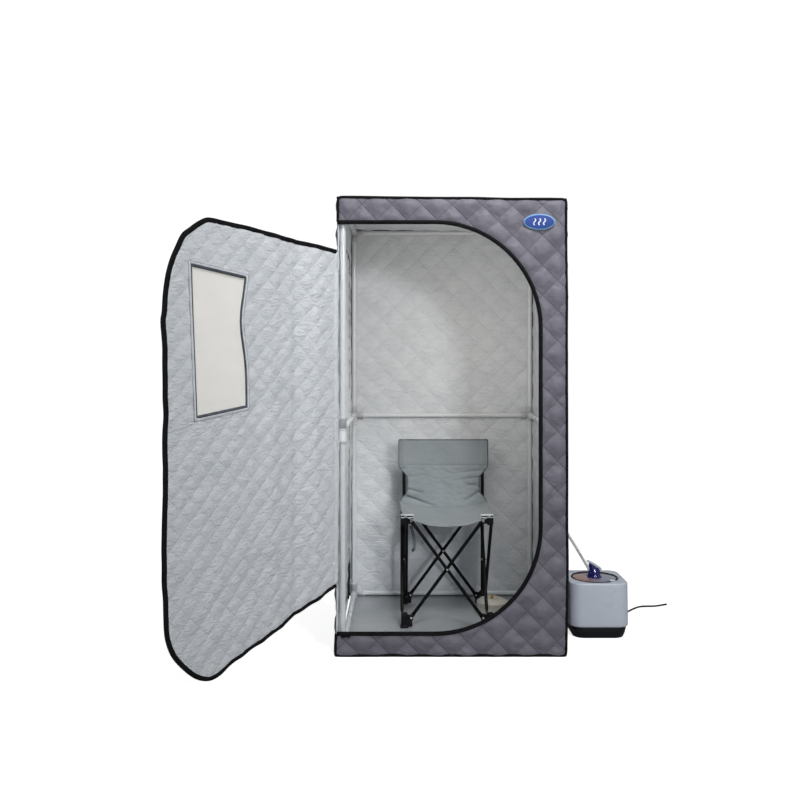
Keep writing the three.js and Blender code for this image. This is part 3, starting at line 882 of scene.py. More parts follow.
def build_doorway_tape():
    """Tape and zip coil round the doorway."""
    path = rounded(resample(DOORWAY, 0.010), 2)
    y = FRONT - 0.0030
    sway = noise(np.arange(len(path)) * 0.01, np.zeros(len(path)), 0.12, 41) * 0.0012
    tape = sweep(xyz(path[:, 0], y + sway, path[:, 1]), flat_section(TAPE, 0.0065), TO_FRONT)
    extra("doorway_tape", tape, MAT["tape"], "cover_front", "zip_slider")
    along = np.gradient(path, axis=0)
    inward = np.stack([along[:, 1], -along[:, 0]], 1) / np.linalg.norm(along, axis=1)[:, None]
    coil = path + inward * (TAPE / 2 + ZIP_COIL * 0.6)
    teeth = sweep(xyz(coil[:, 0], y + 0.001, coil[:, 1]), circle(ZIP_COIL, 8), TO_FRONT)
    extra("doorway_zip", teeth, MAT["coil"], "cover_front", "zip_slider")


def build_floor_mat():
    low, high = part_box("floor_mat")
    corners = (low.x, low.y), (high.x, high.y)
    flat, faces = rectangle_grid(*corners, 0.012)
    u, v = flat.T
    swell = 0.0012 * noise(u, v, 0.14, 51) + 0.0006 * noise(u, v, 0.05, 52)
    top = xyz(u, v, high.z + swell * edge_calm(flat, *corners, 0.03))
    verts, faces, _ = closed_sheet(top, xyz(u, v, low.z), faces)
    obj = mesh_object("floor_cloth", verts, faces, [mat_cloth()], uv=np.vstack([flat, flat]))
    stand_for(obj, "floor_mat")


# ---------------------------------------------------------------- door leaf
HINGE = np.array(joints["door_hinge"]["pos_m"])[:2]


def leaf_axes():
    """The leaf's direction away from the hinge and its outward (outer face) normal, at rest."""
    co = vertices("door_leaf")[:, :2] - HINGE
    far = co[np.argmax(np.linalg.norm(co, axis=1))]
    along = np.linalg.svd(co - co.mean(0), full_matrices=False)[2][0]
    along = along if along @ far > 0 else -along
    return along, np.array([along[1], -along[0]])


LEAF_ALONG, LEAF_OUT = leaf_axes()
LEAF_NORMAL = np.array([*LEAF_OUT, 0.0])


def leaf_flat(node):
    """A leaf node's points as (distance from the hinge, height)."""
    co = vertices(node)
    return np.stack([(co[:, :2] - HINGE) @ LEAF_ALONG, co[:, 2]], 1)


def leaf_bend(flat):
    """Soft upright folds of the hanging leaf, as its distance out of its plane."""
    folds = ((0.178, 0.022, 0.007), (0.29, 0.030, -0.005), (0.09, 0.030, -0.004))
    s, z = flat.T
    lean = 0.010 * np.sin(z * 2.2)
    fold = sum(depth * hump(s, where + lean, width) for where, width, depth in folds)
    curl = 0.005 * (1 + noise(s, z, 0.30, 63)) * ramp(s, 0, 0.3)
    clear_of_front = 0.0085 * ramp(s, 0.04, 0.24) - 0.005 * s
    return fold + curl + clear_of_front


def leaf_place(flat):
    """Where points of the leaf's plane are once it hangs in its folds."""
    plan = HINGE + np.outer(flat[:, 0], LEAF_ALONG) + np.outer(leaf_bend(flat), LEAF_OUT)
    return xyz(*plan.T, flat[:, 1])


def leaf_outline():
    """The leaf's edge from its top hinge corner round the free side to its bottom hinge corner."""
    flat = np.unique(np.round(leaf_flat("door_leaf"), 5), axis=0)
    pane = leaf_flat("door_window")
    low, high = pane.min(0) - 0.004, pane.max(0) + 0.004
    rim = flat[~((flat > low).all(1) & (flat < high).all(1))]
    centre = rim.mean(0)
    angle = np.arctan2(rim[:, 1] - centre[1], rim[:, 0] - centre[0])
    ordered = rim[np.argsort(-angle)]
    hung = np.nonzero(ordered[:, 0] < rim[:, 0].min() + 0.002)[0]
    top = hung[np.argmax(ordered[hung, 1])]
    path = rounded(resample(np.roll(ordered, -top, 0), 0.012), 3)
    return path + leaf_flutter(path, centre)


def leaf_flutter(path, centre):
    """How the limp free edge of the leaf waves in and out, in its plane."""
    s, z = path.T
    run = np.arange(len(path)) * 0.012
    outward = path - centre
    outward /= np.linalg.norm(outward, axis=1)[:, None]
    sway = noise(run, 0 * run, 0.13, 61) * 0.005 + noise(run, 0 * run, 0.05, 62) * 0.0022
    sway *= (1 - 0.75 * (z > 1.30) * (s < 0.56)) * ramp(s, 0.02, 0.27)
    nose = 0.017 * hump(z, 1.14, 0.032) * (s > 0.6)
    scallop = -0.0045 * np.abs(np.sin(np.pi * s / 0.085)) * (z < 0.4) * ramp(s, 0.58, 0.48)
    drawn_in = -0.007 * ramp(s, 0.4, 0.7)
    knee = 0.009 * hump(s, 0.655, 0.028) * hump(z, 1.40, 0.028)
    toe = 0.022 * hump(s, 0.68, 0.13) * hump(z, 0.20, 0.13)
    heel = 0.021 * hump(z, 0.235, 0.09) * ramp(s, 0.5, 0.62)
    return outward * (sway + nose + scallop + drawn_in + knee + toe)[:, None] + np.outer(heel, (1, 0))


def window_pull(points, low, high):
    """The limp cloth pulls the window out of square: its corners spread and its inner side bows in."""
    a, b = ((points - (low + high) / 2) / ((high - low) / 2)).T
    rise = 0.0115 * a * b - 0.0055 * b + 0.0025
    bow = 0.022 * hump(b, 0.32, 0.5) * ramp(-a, -1, 1)
    lean = -0.010 * (1 - b) / 2 * (1 + a) - 0.007
    return points + np.stack([bow + lean, rise], 1)


def window_edge(low, high, grow=0.0):
    """The window's outline, grown by a margin and pulled with the cloth."""
    corners = corners_of(low, high)
    corners = corners + np.sign(corners - corners.mean(0)) * grow
    return window_pull(resample(corners, 0.010, True), low, high)


def build_leaf():
    free_edge = leaf_outline()
    pane = leaf_flat("door_window")
    low, high = pane.min(0), pane.max(0)
    hole = window_edge(low, high)
    flat, faces = cut_sheet(free_edge, [hole])
    gap = np.minimum(distance_to(flat, free_edge), distance_to(flat, hole))
    calm = ramp(gap, 0, 0.018) ** 0.6 * ramp(flat[:, 0], 0, 0.05)
    leaf = cloth_panel("door_cloth", flat, faces, leaf_place, LEAF_NORMAL, 64, "lining", calm,
                       diamond=LEAF_QUILT)
    stand_for(leaf, "door_leaf")
    width = lambda share: flat_section(LEAF_TAPE * (1.0 - 0.12 * ramp(share, 0.62, 0.82)), 0.010)
    tape = sweep(leaf_place(resample(free_edge, 0.008)), width, LEAF_NORMAL)
    extra("door_tape", tape, MAT["tape"], "door_leaf", "zip_slider")
    build_window(low, high)
    build_hinge_cloth(free_edge)


def build_hinge_cloth(free_edge):
    """The leaf is cut in one with the left wall: this strip of lining joins the wall to the leaf at the hinge."""
    rows, columns, width = 90, 7, 0.02
    heights = np.linspace(free_edge[-1, 1] + 0.002, free_edge[0, 1] - 0.002, rows)
    wall = np.array([LEFT + CLOTH / 2, FRONT + CLOTH + 0.001])
    leaf_end = HINGE + LEAF_ALONG * 0.010
    share = np.linspace(0, 1, columns)
    plan = wall + np.outer(share, leaf_end - wall) + np.outer(np.sin(share * np.pi) * 0.003, -LEAF_OUT)
    grid = xyz(*plan.T, heights[:, None])
    grid[:, :, 0] += 0.0006 * noise(grid[:, :, 2], grid[:, :, 0] * 3, 0.03, 67)
    uv = np.stack(np.broadcast_arrays(share * width, heights[:, None]), 2)
    strip = thick_sheet("hinge_cloth", grid, 0.003, MAT["lining"], uv)
    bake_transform(strip)


def build_window(low, high):
    """The frosted pane, and the border, seam and binding that hold it."""
    half_film = 0.0004
    flat, faces = rectangle_grid(low - 0.006, high + 0.006, 0.010)
    flat = window_pull(flat, low, high)
    place = leaf_place(flat)
    sag = 0.0012 * noise(*flat.T, 0.12, 66)
    out = place + LEAF_NORMAL * (half_film + sag)[:, None]
    inn = place - LEAF_NORMAL * (half_film - sag)[:, None]
    verts, faces, _ = closed_sheet(out, inn, faces)
    film = mesh_object("window_film", verts, faces, [window_film()], uv=np.vstack([flat, flat]))
    stand_for(film, "door_window")
    wide, tall = high - low
    level_share = wide / (2 * (wide + tall))
    for name, grow, width, level_width, thick, material in (
        ("window_border", 0.006, 0.010, 0.010, 0.0128, "lining"),
        ("window_seam", 0.0105, 0.0016, 0.0016, 0.0138, "seam"),
        ("window_binding", 0.0, 0.0042, 0.0100, 0.0140, "sling_edge"),
    ):
        on_level = lambda share: share < level_share or 0.5 < share < 0.5 + level_share
        section = lambda share: flat_section(level_width if on_level(share) else width, thick)
        shape = sweep(leaf_place(window_edge(low, high, grow)), section, LEAF_NORMAL, True)
        uv_from_plan(extra(name, shape, MAT[material], "door_leaf", "zip_slider"))


# ---------------------------------------------------------------- tube frame
def build_tubes():
    edge = 0.0012
    for node in nodes_named("post_", "rail_"):
        a, b, radius = round_points(node)
        length = np.linalg.norm(b - a)
        profile = [(radius - edge, 0), (radius, edge)]
        profile += [(radius, x) for x in np.linspace(0.02, length - 0.02, 5)]
        profile += [(radius, length - edge), (radius - edge, length)]
        part(f"{node}_pipe", turned(profile, a, b - a), MAT["pvc"], node)


def socket(centre, direction, reach, tube):
    """One open socket of a fitting, with a rolled lip at its mouth."""
    wall, gap, lip_height, depth = 0.0031, 0.0004, 0.0011, 0.021
    outer, bore = tube + wall, tube + gap
    lip = outer + lip_height
    profile = [(outer, 0.0), (outer, reach - 0.009), (lip, reach - 0.0078), (lip, reach - 0.0008),
               (lip - 0.0008, reach), (bore + 0.0006, reach), (bore, reach - 0.001), (bore, depth),
               (0.0, depth)]
    return turned(profile, centre, direction)


def ball(centre, radius):
    turn = np.linspace(0, np.pi, 14)
    profile = [(radius * math.sin(t), radius - radius * math.cos(t)) for t in turn]
    return turned(profile, np.asarray(centre) - [0, 0, radius], UP)


def build_fittings():
    tube = round_points("post_front_left")[2]
    places = [(level, depth, side) for level in ("bottom", "top", "mid")
              for depth in ("front", "back") for side in ("left", "right")]
    for level, depth, side in places:
        node = f"connector_{level}_{depth}_{side}"
        post = middle(f"post_{depth}_{side}")
        centre = np.array([post.x, post.y, middle(f"rail_{level}_left").z])
        low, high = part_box(node)
        reach = (high.z - centre[2]) if level != "top" else (centre[2] - low.z)
        arms = [(0, -np.sign(post.y), 0)]
        if level != "mid" or depth == "back":
            arms.append((-np.sign(post.x), 0, 0))
        if level != "top":
            arms.append((0, 0, 1))
        if level != "bottom":
            arms.append((0, 0, -1))
        sockets = [socket(centre, arm, reach, tube) for arm in arms]
        part(f"{node}_moulding", joined([*sockets, ball(centre, tube + 0.0038)]), MAT["fitting"], node)


# ---------------------------------------------------------------- folding chair
def rivet(centre, direction, radius=0.0042):
    height, sunk = 0.0022, 0.0004
    profile = [(radius, 0), (radius, height * 0.25), (radius * 0.8, height * 0.75), (radius * 0.35, height)]
    return turned(profile, np.asarray(centre) - np.asarray(direction, float) * sunk, direction, 18)


def build_bars():
    """Scissor bars: round tubes pressed flat at their ends, with rivets."""
    flat_half, flat_thick, end_length = 0.0080, 0.0022, 0.008
    for node in nodes_named("chair_bar_"):
        a, b, radius = round_points(node)
        across = (0.0, 1.0, 0.0) if "rear" in node or "front" in node else (1.0, 0.0, 0.0)
        side_axis, normal, direction = basis(b - a, np.cross(b - a, across))
        length = np.linalg.norm(b - a)
        stations = [0.0, 0.001, 0.004, 0.008, 0.014, 0.020, 0.027, 0.034, 0.04, length / 2]
        rings = []
        for along in stations:
            t = smooth(along, 0.014, 0.036)
            tip = math.sqrt(1 - (1 - ramp(along, 0, end_length)) ** 2)
            wide = (flat_half + (radius - flat_half) * t) * max(tip, 0.15)
            thick = flat_thick + (radius - flat_thick) * t
            c = circle(1.0, 20)
            rings.append(a + direction * along + c[:, :1] * wide * side_axis + c[:, 1:] * thick * normal)
        far = [r + direction * (length - 2 * x) for r, x in zip(rings[:-1], stations)][::-1]
        part(f"{node}_tube", loft(rings + far), MAT["steel"], node)
        spots = [(a + direction * 0.009, flat_thick), (b - direction * 0.009, flat_thick),
                 ((a + b) / 2, radius + 0.0002)]
        heads = [rivet(p + normal * s * lift, normal * s) for p, lift in spots for s in (1, -1)]
        extra(f"{node}_rivets", joined(heads), MAT["rivet"], node)


def on_soft_box(p, half, bevel, edge):
    """Moves a point of a cube onto a rounded box, so that the grid's outer steps fall on the bevel."""
    flat, m = half - bevel, np.abs(p)
    size = np.where(m > edge - 1e-6, flat + (m - edge) / (1 - edge) * bevel, m / edge * flat)
    point = np.copysign(size, p)
    inner = np.clip(point, -flat, flat)
    offset = np.linalg.norm(point - inner)
    return inner + (point - inner) / offset * bevel if offset > 1e-9 else inner


def soft_box(low, high, bevel=0.003, cut=3):
    """A box with rounded edges, as vertices and faces."""
    low, high = np.asarray(low, float), np.asarray(high, float)
    half, centre = (high - low) / 2, (high + low) / 2
    bevel = min(bevel, half.min() * 0.95)
    steps = np.linspace(-1, 1, 2 * cut + 2)
    verts, faces, index = [], [], {}
    for axis, sign in ((axis, sign) for axis in range(3) for sign in (-1, 1)):
        ids = np.zeros((len(steps), len(steps)), int)
        for i, j in np.ndindex(ids.shape):
            p = np.roll([float(sign), steps[i], steps[j]], axis)
            key = tuple(np.round(p, 5))
            if key not in index:
                index[key] = len(verts)
                verts.append(centre + on_soft_box(p, half, bevel, 1 - 2 / (2 * cut + 1)))
            ids[i, j] = index[key]
        quads = np.stack([ids[:-1, :-1], ids[1:, :-1], ids[1:, 1:], ids[:-1, 1:]], -1).reshape(-1, 4)
        faces += [tuple(q) for q in quads[:, ::sign]]
    return np.array(verts), faces


def box_arm(centre, axis, reach, half_width, bottom, top, bevel):
    """A box from a centre to a signed reach along x (axis 0) or y (axis 1)."""
    a, b = np.array([*centre, bottom]), np.array([*centre, top])
    a[axis] += min(0, reach)
    b[axis] += max(0, reach)
    a[1 - axis] -= half_width
    b[1 - axis] += half_width
    return soft_box(a, b, bevel)


def joint_height(node):
    """Height of the scissor bars' pivots in a foot or a hub."""
    heights = [round(j["pos_m"][2], 5) for n, j in joints.items() if "pivot" in n or n == "chair_fold"]
    return min(heights) if "foot" in node else max(heights)


def build_feet_and_hubs():
    """Corner mouldings: a core with a thick lug along each side, and a wide pad under each foot."""
    core, inset, lug_half, lug_width, pad = 0.0125, 0.0005, 0.0115, 0.0060, 0.016
    for node in nodes_named("chair_foot_", "chair_hub_"):
        low, high = (np.array(corner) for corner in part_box(node))
        sign = np.array([1 if "left" in node else -1, -1 if "rear" in node else 1])
        centre = np.where(sign > 0, low[:2] + core - inset, high[:2] - core + inset)
        reach = high[0] - low[0] - core
        pivot = joint_height(node)
        shapes = [soft_box([*centre - core, low[2]], [*centre + core, high[2]], 0.0045)]
        rivets = []
        for axis in (0, 1):
            lug = (sign[axis] * reach, lug_width, pivot - lug_half, pivot + lug_half)
            shapes.append(box_arm(centre, axis, *lug, 0.0030))
            way, spot = np.zeros(3), np.array([*centre, pivot])
            way[1 - axis] = 1.0
            spot[axis] += sign[axis] * (reach - 0.008)
            rivets += [rivet(spot + way * k * lug_half, way * k, 0.0046) for k in (1, -1)]
        if "foot" in node:
            shapes.append(soft_box([*centre - pad, low[2]], [*centre + pad, low[2] + 0.010], 0.004))
            toe = (sign[0] * reach * 0.9, 0.009, low[2] + 0.004, pivot - 0.009)
            shapes.append(box_arm(centre, 0, *toe, 0.004))
        part(f"{node}_moulding", joined(shapes), MAT["chair_plastic"], node)
        extra(f"{node}_rivets", joined(rivets), MAT["rivet"], node)


def build_posts():
    for node in ("chair_post_rear_left", "chair_post_rear_right"):
        a, b, radius = round_points(node)
        length = np.linalg.norm(b - a)
        profile = [(radius, 0), (radius, 0.02), (radius, length * 0.5), (radius, length - 0.006),
                   (radius * 0.9, length - 0.002), (radius * 0.5, length)]
        part(f"{node}_tube", turned(profile, a, b - a), MAT["steel"], node)


SLING_U, SLING_T = 0.18, 0.30    # cloth metres for one step of u and of t


def sling_frame():
    """Where the sling hangs: middle across, front edge, posts, seat height and top edge."""
    low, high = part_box("chair_sling")
    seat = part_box("chair_hub_front_left")[1].z + 0.0055
    return (low.x + high.x) / 2, low.y, middle("chair_post_rear_left").y, seat, high.z


def seat_surface(u, t):
    """Seat of the sling: u is -1 to 1 across and t is 0 at the front edge, 1 at the back."""
    centre, front, rear, seat, _ = sling_frame()
    half_front, widening, gap_to_back = 0.170, 0.012, 0.024
    across, edge = (u * SLING_U, t * SLING_T), np.abs(u)
    sink = 0.041 + 0.020 * np.sin(np.pi * t) - 0.019 * t
    z = seat - sink * np.clip(1 - edge ** 2.3, 0, 1) + 0.002 * noise(*across, 0.06, 71) * (1 - edge)
    z += 0.0016 * noise(*across, 0.022, 73) * (1 - edge) ** 0.5
    y = front + (rear - gap_to_back - front) * t - 0.006 * (1 - u * u) * (1 - t)
    return xyz(centre + u * (half_front + widening * t), y, z)


def back_surface(u, t):
    """Back of the sling: t is 0 where it meets the seat and 1 at its top edge."""
    centre, _, rear, seat, top = sling_frame()
    waist, shoulder, foot_flare, foot = 0.150, 0.187, 0.032, seat + 0.002
    lift, belly = (1 - t) ** 3, 1 - u * u
    x = u * (waist + foot_flare * (1 - smooth(t, 0.0, 0.17)) + (shoulder - waist) * smooth(t, 0.36, 0.60))
    z = foot + (top - foot) * t - belly * 0.020 * lift + 0.0025 * np.abs(u) ** 3 * smooth(t, 0.8, 1)
    z -= 0.007 * (1 - smooth(t, 0.0, 0.05))
    y = rear - 0.008 - 0.022 * (1 - t) ** 2.4 + belly * 0.010 * (1 - lift)
    y -= 0.009 * hump(np.abs(x), 0.165, 0.011) * smooth(t, 0.5, 0.62)
    y += 0.0022 * hump(t, 0.585, 0.012) + fold_lines(x, z - seat)
    slack = 1 - 0.75 * smooth(t, 0.55, 0.65)
    y += (0.0022 * noise(x, z, 0.045, 74) + 0.0012 * noise(x, z * 2, 0.018, 75)) * slack
    return xyz(centre + x, y, z)


def fold_lines(x, z):
    """Creases of the slack back, as depth at x across and z above the seat."""
    folds = [
        ((-0.151, 0.020), (-0.035, -0.020), 0.0060, 0.0090),
        ((0.154, 0.042), (0.095, 0.004), 0.0070, 0.0080),
        ((0.152, 0.060), (0.085, 0.076), 0.0060, 0.0045),
        ((0.150, 0.128), (0.030, 0.114), 0.0055, 0.0035),
        ((0.148, 0.100), (0.048, 0.088), 0.0050, 0.0035),
        ((0.140, 0.074), (0.060, 0.052), 0.0050, 0.0030),
        ((-0.148, 0.052), (-0.090, 0.034), 0.0050, 0.0040),
        ((-0.146, 0.100), (-0.070, 0.108), 0.0060, 0.0022),
    ]
    depth = 0.0
    for (x0, z0), (x1, z1), width, deep in folds:
        dx, dz = x1 - x0, z1 - z0
        along = np.clip(((x - x0) * dx + (z - z0) * dz) / (dx * dx + dz * dz), 0, 1)
        off = np.hypot(x - x0 - along * dx, z - z0 - along * dz)
        depth = depth + deep * (1 - 0.6 * along) * hump(off, 0, width)
    return 1.5 * depth


def build_sling():
    """The chair's cloth in three pieces, with its hems; each piece rides on the body of a hub or of the sling."""
    grids, soft = [], []
    for name, surface, start, end, rows, node in (
        ("sling_seat_front", seat_surface, 0.0, 0.5, 34, "chair_hub_front_left"),
        ("sling_seat_rear", seat_surface, 0.5, 1.0, 34, "chair_hub_rear_left"),
        ("sling_back", back_surface, 0.0, 1.0, 84, "chair_sling"),
    ):
        u, t = np.meshgrid(np.linspace(-1, 1, 73), np.linspace(start, end, rows))
        grids.append(surface(u, t))
        sheet = thick_sheet(name, grids[-1], 0.0022, MAT["sling"], np.stack([u * SLING_U, t * SLING_T], -1))
        soft.append(add_on(sheet, node, "chair_sling"))
    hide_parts("chair_sling")
    front, rear, back = grids
    for name, line, node, material, radius in (
        ("hem_front", np.vstack([front[::-1, 0], front[0, 1:], front[1:, -1]]), "chair_hub_front_left",
         "sling", 0.0026),
        ("hem_rear_left", rear[:, 0], "chair_hub_rear_left", "sling", 0.0026),
        ("hem_rear_right", rear[:, -1], "chair_hub_rear_left", "sling", 0.0026),
        ("hem_back", np.vstack([back[:, 0], back[-1, 1:], back[::-1, -1][1:]]), "chair_sling",
         "sling_edge", 0.0024),
    ):
        hem = sweep(rounded(resample(line, 0.006), 1), circle(radius, 10))
        soft.append(uv_from_plan(extra(name, hem, MAT[material], node, "chair_sling")))
    for obj in soft:
        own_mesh(obj)
    build_clips()
    build_strap()


def build_clips():
    """White clips with a black band that hold the sling's front corners to the hubs."""
    for side in ("left", "right"):
        node = f"chair_hub_front_{side}"
        low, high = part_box(node)
        y, z = low.y - 0.004, high.z + 0.0035
        upper = soft_box([low.x - 0.002, y, z], [high.x, y + 0.018, z + 0.0035], 0.0014)
        lower = soft_box([low.x - 0.002, y, z - 0.0085], [high.x, y + 0.018, z - 0.0055], 0.0012)
        band = soft_box([low.x, y + 0.0015, z - 0.006], [high.x - 0.002, y + 0.017, z + 0.0005], 0.0010)
        extra(f"clip_{side}", joined([upper, lower]), MAT["fitting"], node)
        extra(f"clip_band_{side}", band, MAT["gasket"], node)


def build_strap():
    """A short carrying strap hanging from the front left hub."""
    low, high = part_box("chair_hub_front_left")
    t = np.linspace(0, 1, 30)
    x = high.x - 0.010 + 0.012 * np.sin(t * np.pi) + 0.004 * t
    y = low.y + 0.022 + 0.006 * np.sin(t * 2 * np.pi)
    z = low.z - 0.095 * np.sin(t * np.pi / 2) - 0.006
    strap = sweep(xyz(x, y, z), flat_section(0.012, 0.0018), (0.2, -1.0, 0.0))
    extra("carry_strap", strap, MAT["sling_edge"], "chair_hub_front_left", "chair_sling")


# ---------------------------------------------------------------- steam generator
def square_ring(half, corner, z, centre, count=128):
    """A level ring round a square with rounded corners; a corner as large as half makes a circle."""
    turn = (np.arange(count) + 0.5) / count * 2 * np.pi
    c, s = np.cos(turn), np.sin(turn)
    ac, az = np.abs(c), np.abs(s)
    flat = half / np.maximum(ac, az)
    inset = half - corner
    reach = inset * (ac + az)
    arc = reach + np.sqrt(np.maximum(reach ** 2 - 2 * inset ** 2 + corner ** 2, 0))
    radius = np.where(flat * np.minimum(ac, az) <= inset, flat, arc)
    return xyz(centre[0] + radius * c, centre[1] + radius * s, z)


def rings_of(profile, centre, count=128):
    """Round rings from a list of (radius, height)."""
    return [square_ring(r, r, z, centre, count) for r, z in profile]


def round_band(profile, centre, sides=72):
    """A round ring: profile is a closed list of (radius, height)."""
    turn = np.arange(sides) / sides * 2 * np.pi
    verts = [[centre[0] + r * math.cos(a), centre[1] + r * math.sin(a), z] for a in turn for r, z in profile]
    n = len(profile)
    faces = [(i * n + j, ((i + 1) % sides) * n + j, ((i + 1) % sides) * n + (j + 1) % n, i * n + (j + 1) % n)
             for i in range(sides) for j in range(n)]
    return np.array(verts), faces


def around(centre, radius, z, count, first=0.0):
    """Evenly spaced points round a centre."""
    turns = [first + k / count * 2 * math.pi for k in range(count)]
    return [np.array([centre[0] + math.cos(a) * radius, centre[1] + math.sin(a) * radius, z]) for a in turns]


POT_CORNER = 0.040       # radius of the pot's upright corners


def build_housing(centre, lid_radius, lid_bottom):
    low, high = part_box("steamer_housing")
    half, fillet, taper, corner = (high.x - low.x) / 2, 0.006, 0.0015, POT_CORNER
    steps = [(half - 0.004, corner - 0.002, low.z), (half - 0.001, corner, low.z + 0.002)]
    steps += [(half - taper * (z - low.z) / (high.z - low.z), corner, z)
              for z in np.linspace(low.z + 0.006, high.z - fillet, 7)]
    for angle in np.linspace(0.2, 1, 6) * math.pi / 2:
        inset = taper + fillet * (1 - math.cos(angle))
        steps.append((half - inset, corner - 0.5 * inset, high.z - fillet * (1 - math.sin(angle))))
    for share in (0.35, 0.7):
        radius = (half - fillet) * (1 - share) + (lid_radius + 0.004) * share
        steps.append((radius, (corner - 0.004) * (1 - share) + radius * share, high.z - 0.0008 * share))
    tank = [(lid_radius + 0.0035, high.z - 0.001), (lid_radius + 0.0015, high.z - 0.002),
            (lid_radius + 0.0012, lid_bottom - 0.0008), (lid_radius - 0.004, lid_bottom - 0.001),
            (lid_radius - 0.005, low.z + 0.03), (lid_radius * 0.6, low.z + 0.026), (0.001, low.z + 0.026)]
    rings = [square_ring(*step, centre) for step in steps] + rings_of(tank, centre)
    part("pot_housing", loft(rings), MAT["white"], "steamer_housing")


def build_base(centre):
    low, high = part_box("steamer_base")
    half, tall = (high.x - low.x) / 2, high.z - low.z
    steps = [(0.88, 0.0), (0.905, 0.03), (0.955, 0.35), (0.985, 0.62), (1.0, 0.93), (1.0, 0.995)]
    rings = [square_ring(half * share, POT_CORNER * share, low.z + tall * up, centre) for share, up in steps]
    part("pot_base", loft(rings), MAT["black"], "steamer_base")


def build_lid(centre, radius, z0, z1):
    co = vertices("steamer_lid")
    hole = np.hypot(co[:, 0] - centre[0], co[:, 1] - centre[1]).min()
    dome = [(hole + 0.0008, z0), (radius - 0.004, z0), (radius - 0.002, z0 + 0.001),
            (radius - 0.002, z1 - 0.003), (radius - 0.006, z1 - 0.001), (radius * 0.5, z1 + 0.001),
            (hole + 0.003, z1 + 0.0015), (hole + 0.0008, z1)]
    part("lid_dome", round_band(dome, centre), clear_lid(centre), "steamer_lid")
    gasket = [(radius - 0.0065, z0 - 0.0002), (radius + 0.0006, z0), (radius + 0.0009, z1 - 0.002),
              (radius - 0.0005, z1 + 0.0008), (radius - 0.005, z1 + 0.0002), (radius - 0.0065, z1 - 0.003)]
    extra("lid_gasket", round_band(gasket, centre), MAT["gasket"], "steamer_lid", "steamer_base")
    spot, = around(centre, radius * 0.985, z1 + 0.002, 1, math.radians(-52))
    tab = soft_box(spot - [0.012, 0.006, 0.003], spot + [0.012, 0.006, 0.0035], 0.0028)
    extra("lid_tab", tab, MAT["white"], "steamer_lid", "nozzle_cap")


def build_pot():
    """The steam generator without its nozzle."""
    low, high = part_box("steamer_housing")
    lid_low, lid_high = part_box("steamer_lid")
    centre = ((low.x + high.x) / 2, (low.y + high.y) / 2)
    lid_radius = (lid_high.x - lid_low.x) / 2
    build_housing(centre, lid_radius, lid_low.z)
    build_base(centre)
    build_lid(centre, lid_radius, lid_low.z, lid_high.z)
    plate = [(0.001, 0), (0.055, 0), (0.058, 0.003), (0.055, 0.006), (0.001, 0.006)]
    heater = turned(plate, [*centre, low.z + 0.0265], UP, 40)
    extra("heater_plate", heater, MAT["copper"], "steamer_housing", "chair_post_rear_left")


NOZZLE_SLOPE = math.radians(31)


def build_nozzle():
    """A ribbed nozzle on a flange, its mouth cut at a slant."""
    low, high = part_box("steamer_nozzle")
    centre = np.array([(low.x + high.x) / 2, (low.y + high.y) / 2])
    flange, radius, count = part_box("steamer_lid")[1].z, 0.0215, 48
    rings = rings_of([(0.014, low.z), (0.0145, flange), (0.027, flange + 0.0006), (0.0275, flange + 0.004),
                      (0.0235, flange + 0.0062), (radius, flange + 0.011)], centre, count)
    mouth = middle("nozzle_cap").z - 0.0045 / math.cos(NOZZLE_SLOPE)
    for inset, drop in ((0, 0.001), (0.001, 0), (0.004, 0), (0.006, 0), (0.007, 0.006)):
        slanted = square_ring(radius - inset, radius - inset, 0, centre, count)
        slanted[:, 2] = mouth - drop - (slanted[:, 0] - centre[0]) * math.tan(NOZZLE_SLOPE)
        rings.append(slanted)
    ribs = [soft_box(spot - 0.0016, spot + [0.0016, 0.0016, 0.016], 0.0012, 1)
            for spot in around(centre, radius, flange + 0.007, 10)]
    part("nozzle_body", joined([loft(rings), *ribs]), MAT["blue"], "steamer_nozzle")


def build_cap():
    """The flip cap: a slightly domed plate with a lip at its free end and a knuckle at its hinge."""
    half = np.array([0.0305, 0.0135, 0.0034])
    shape, faces = soft_box(-half, half)
    shape[:, 2] += 0.0016 * (1 - (shape[:, 0] / half[0]) ** 2)
    lip = soft_box([-half[0] - 0.002, -0.008, -0.004], [-half[0] + 0.006, 0.008, 0.001], 0.0018, 2)
    knuckle = turned([(0.0028, 0), (0.0032, 0.001), (0.0032, 0.027), (0.0028, 0.028)],
                     [half[0] - 0.006, -0.014, -0.0035], (0, 1, 0), 16)
    verts, faces = joined([(shape, faces), lip, knuckle])
    c, s = math.cos(NOZZLE_SLOPE), math.sin(NOZZLE_SLOPE)
    turn = np.array([[c, 0, s], [0, 1, 0], [-s, 0, c]])
    part("flip_cap", (verts @ turn.T + np.array(middle("nozzle_cap")), faces), MAT["white"], "nozzle_cap")


def swept_path(node):
    """Middle points of a swept tube, found by walking along its rings of vertices."""
    step, longest_gap = 0.011, 0.08
    co = np.unique(np.round(vertices(node), 6), axis=0)
    start = co[np.argmax(co[:, 0])]
    left = np.ones(len(co), bool)
    path = [co[np.linalg.norm(co - start, axis=1) < step].mean(0)]
    while True:
        gaps = np.linalg.norm(co - path[-1], axis=1)
        left &= gaps >= step
        gaps[~left] = np.inf
        if gaps.min() > longest_gap:
            return np.array(path)
        group = left & (np.linalg.norm(co - co[np.argmin(gaps)], axis=1) < step * 1.2)
        path.append(co[group].mean(0))
        left &= ~group


def build_hose_and_cord():
    for node, name, radius, material, sides in (
        ("steam_hose", "hose_tube", 0.0056, "hose", 20),
        ("power_cord", "cord_flex", 0.0036, "cord", 14),
    ):
        path = rounded(resample(swept_path(node), 0.006), 2)
        part(name, sweep(path, circle(radius, sides)), MAT[material], node)


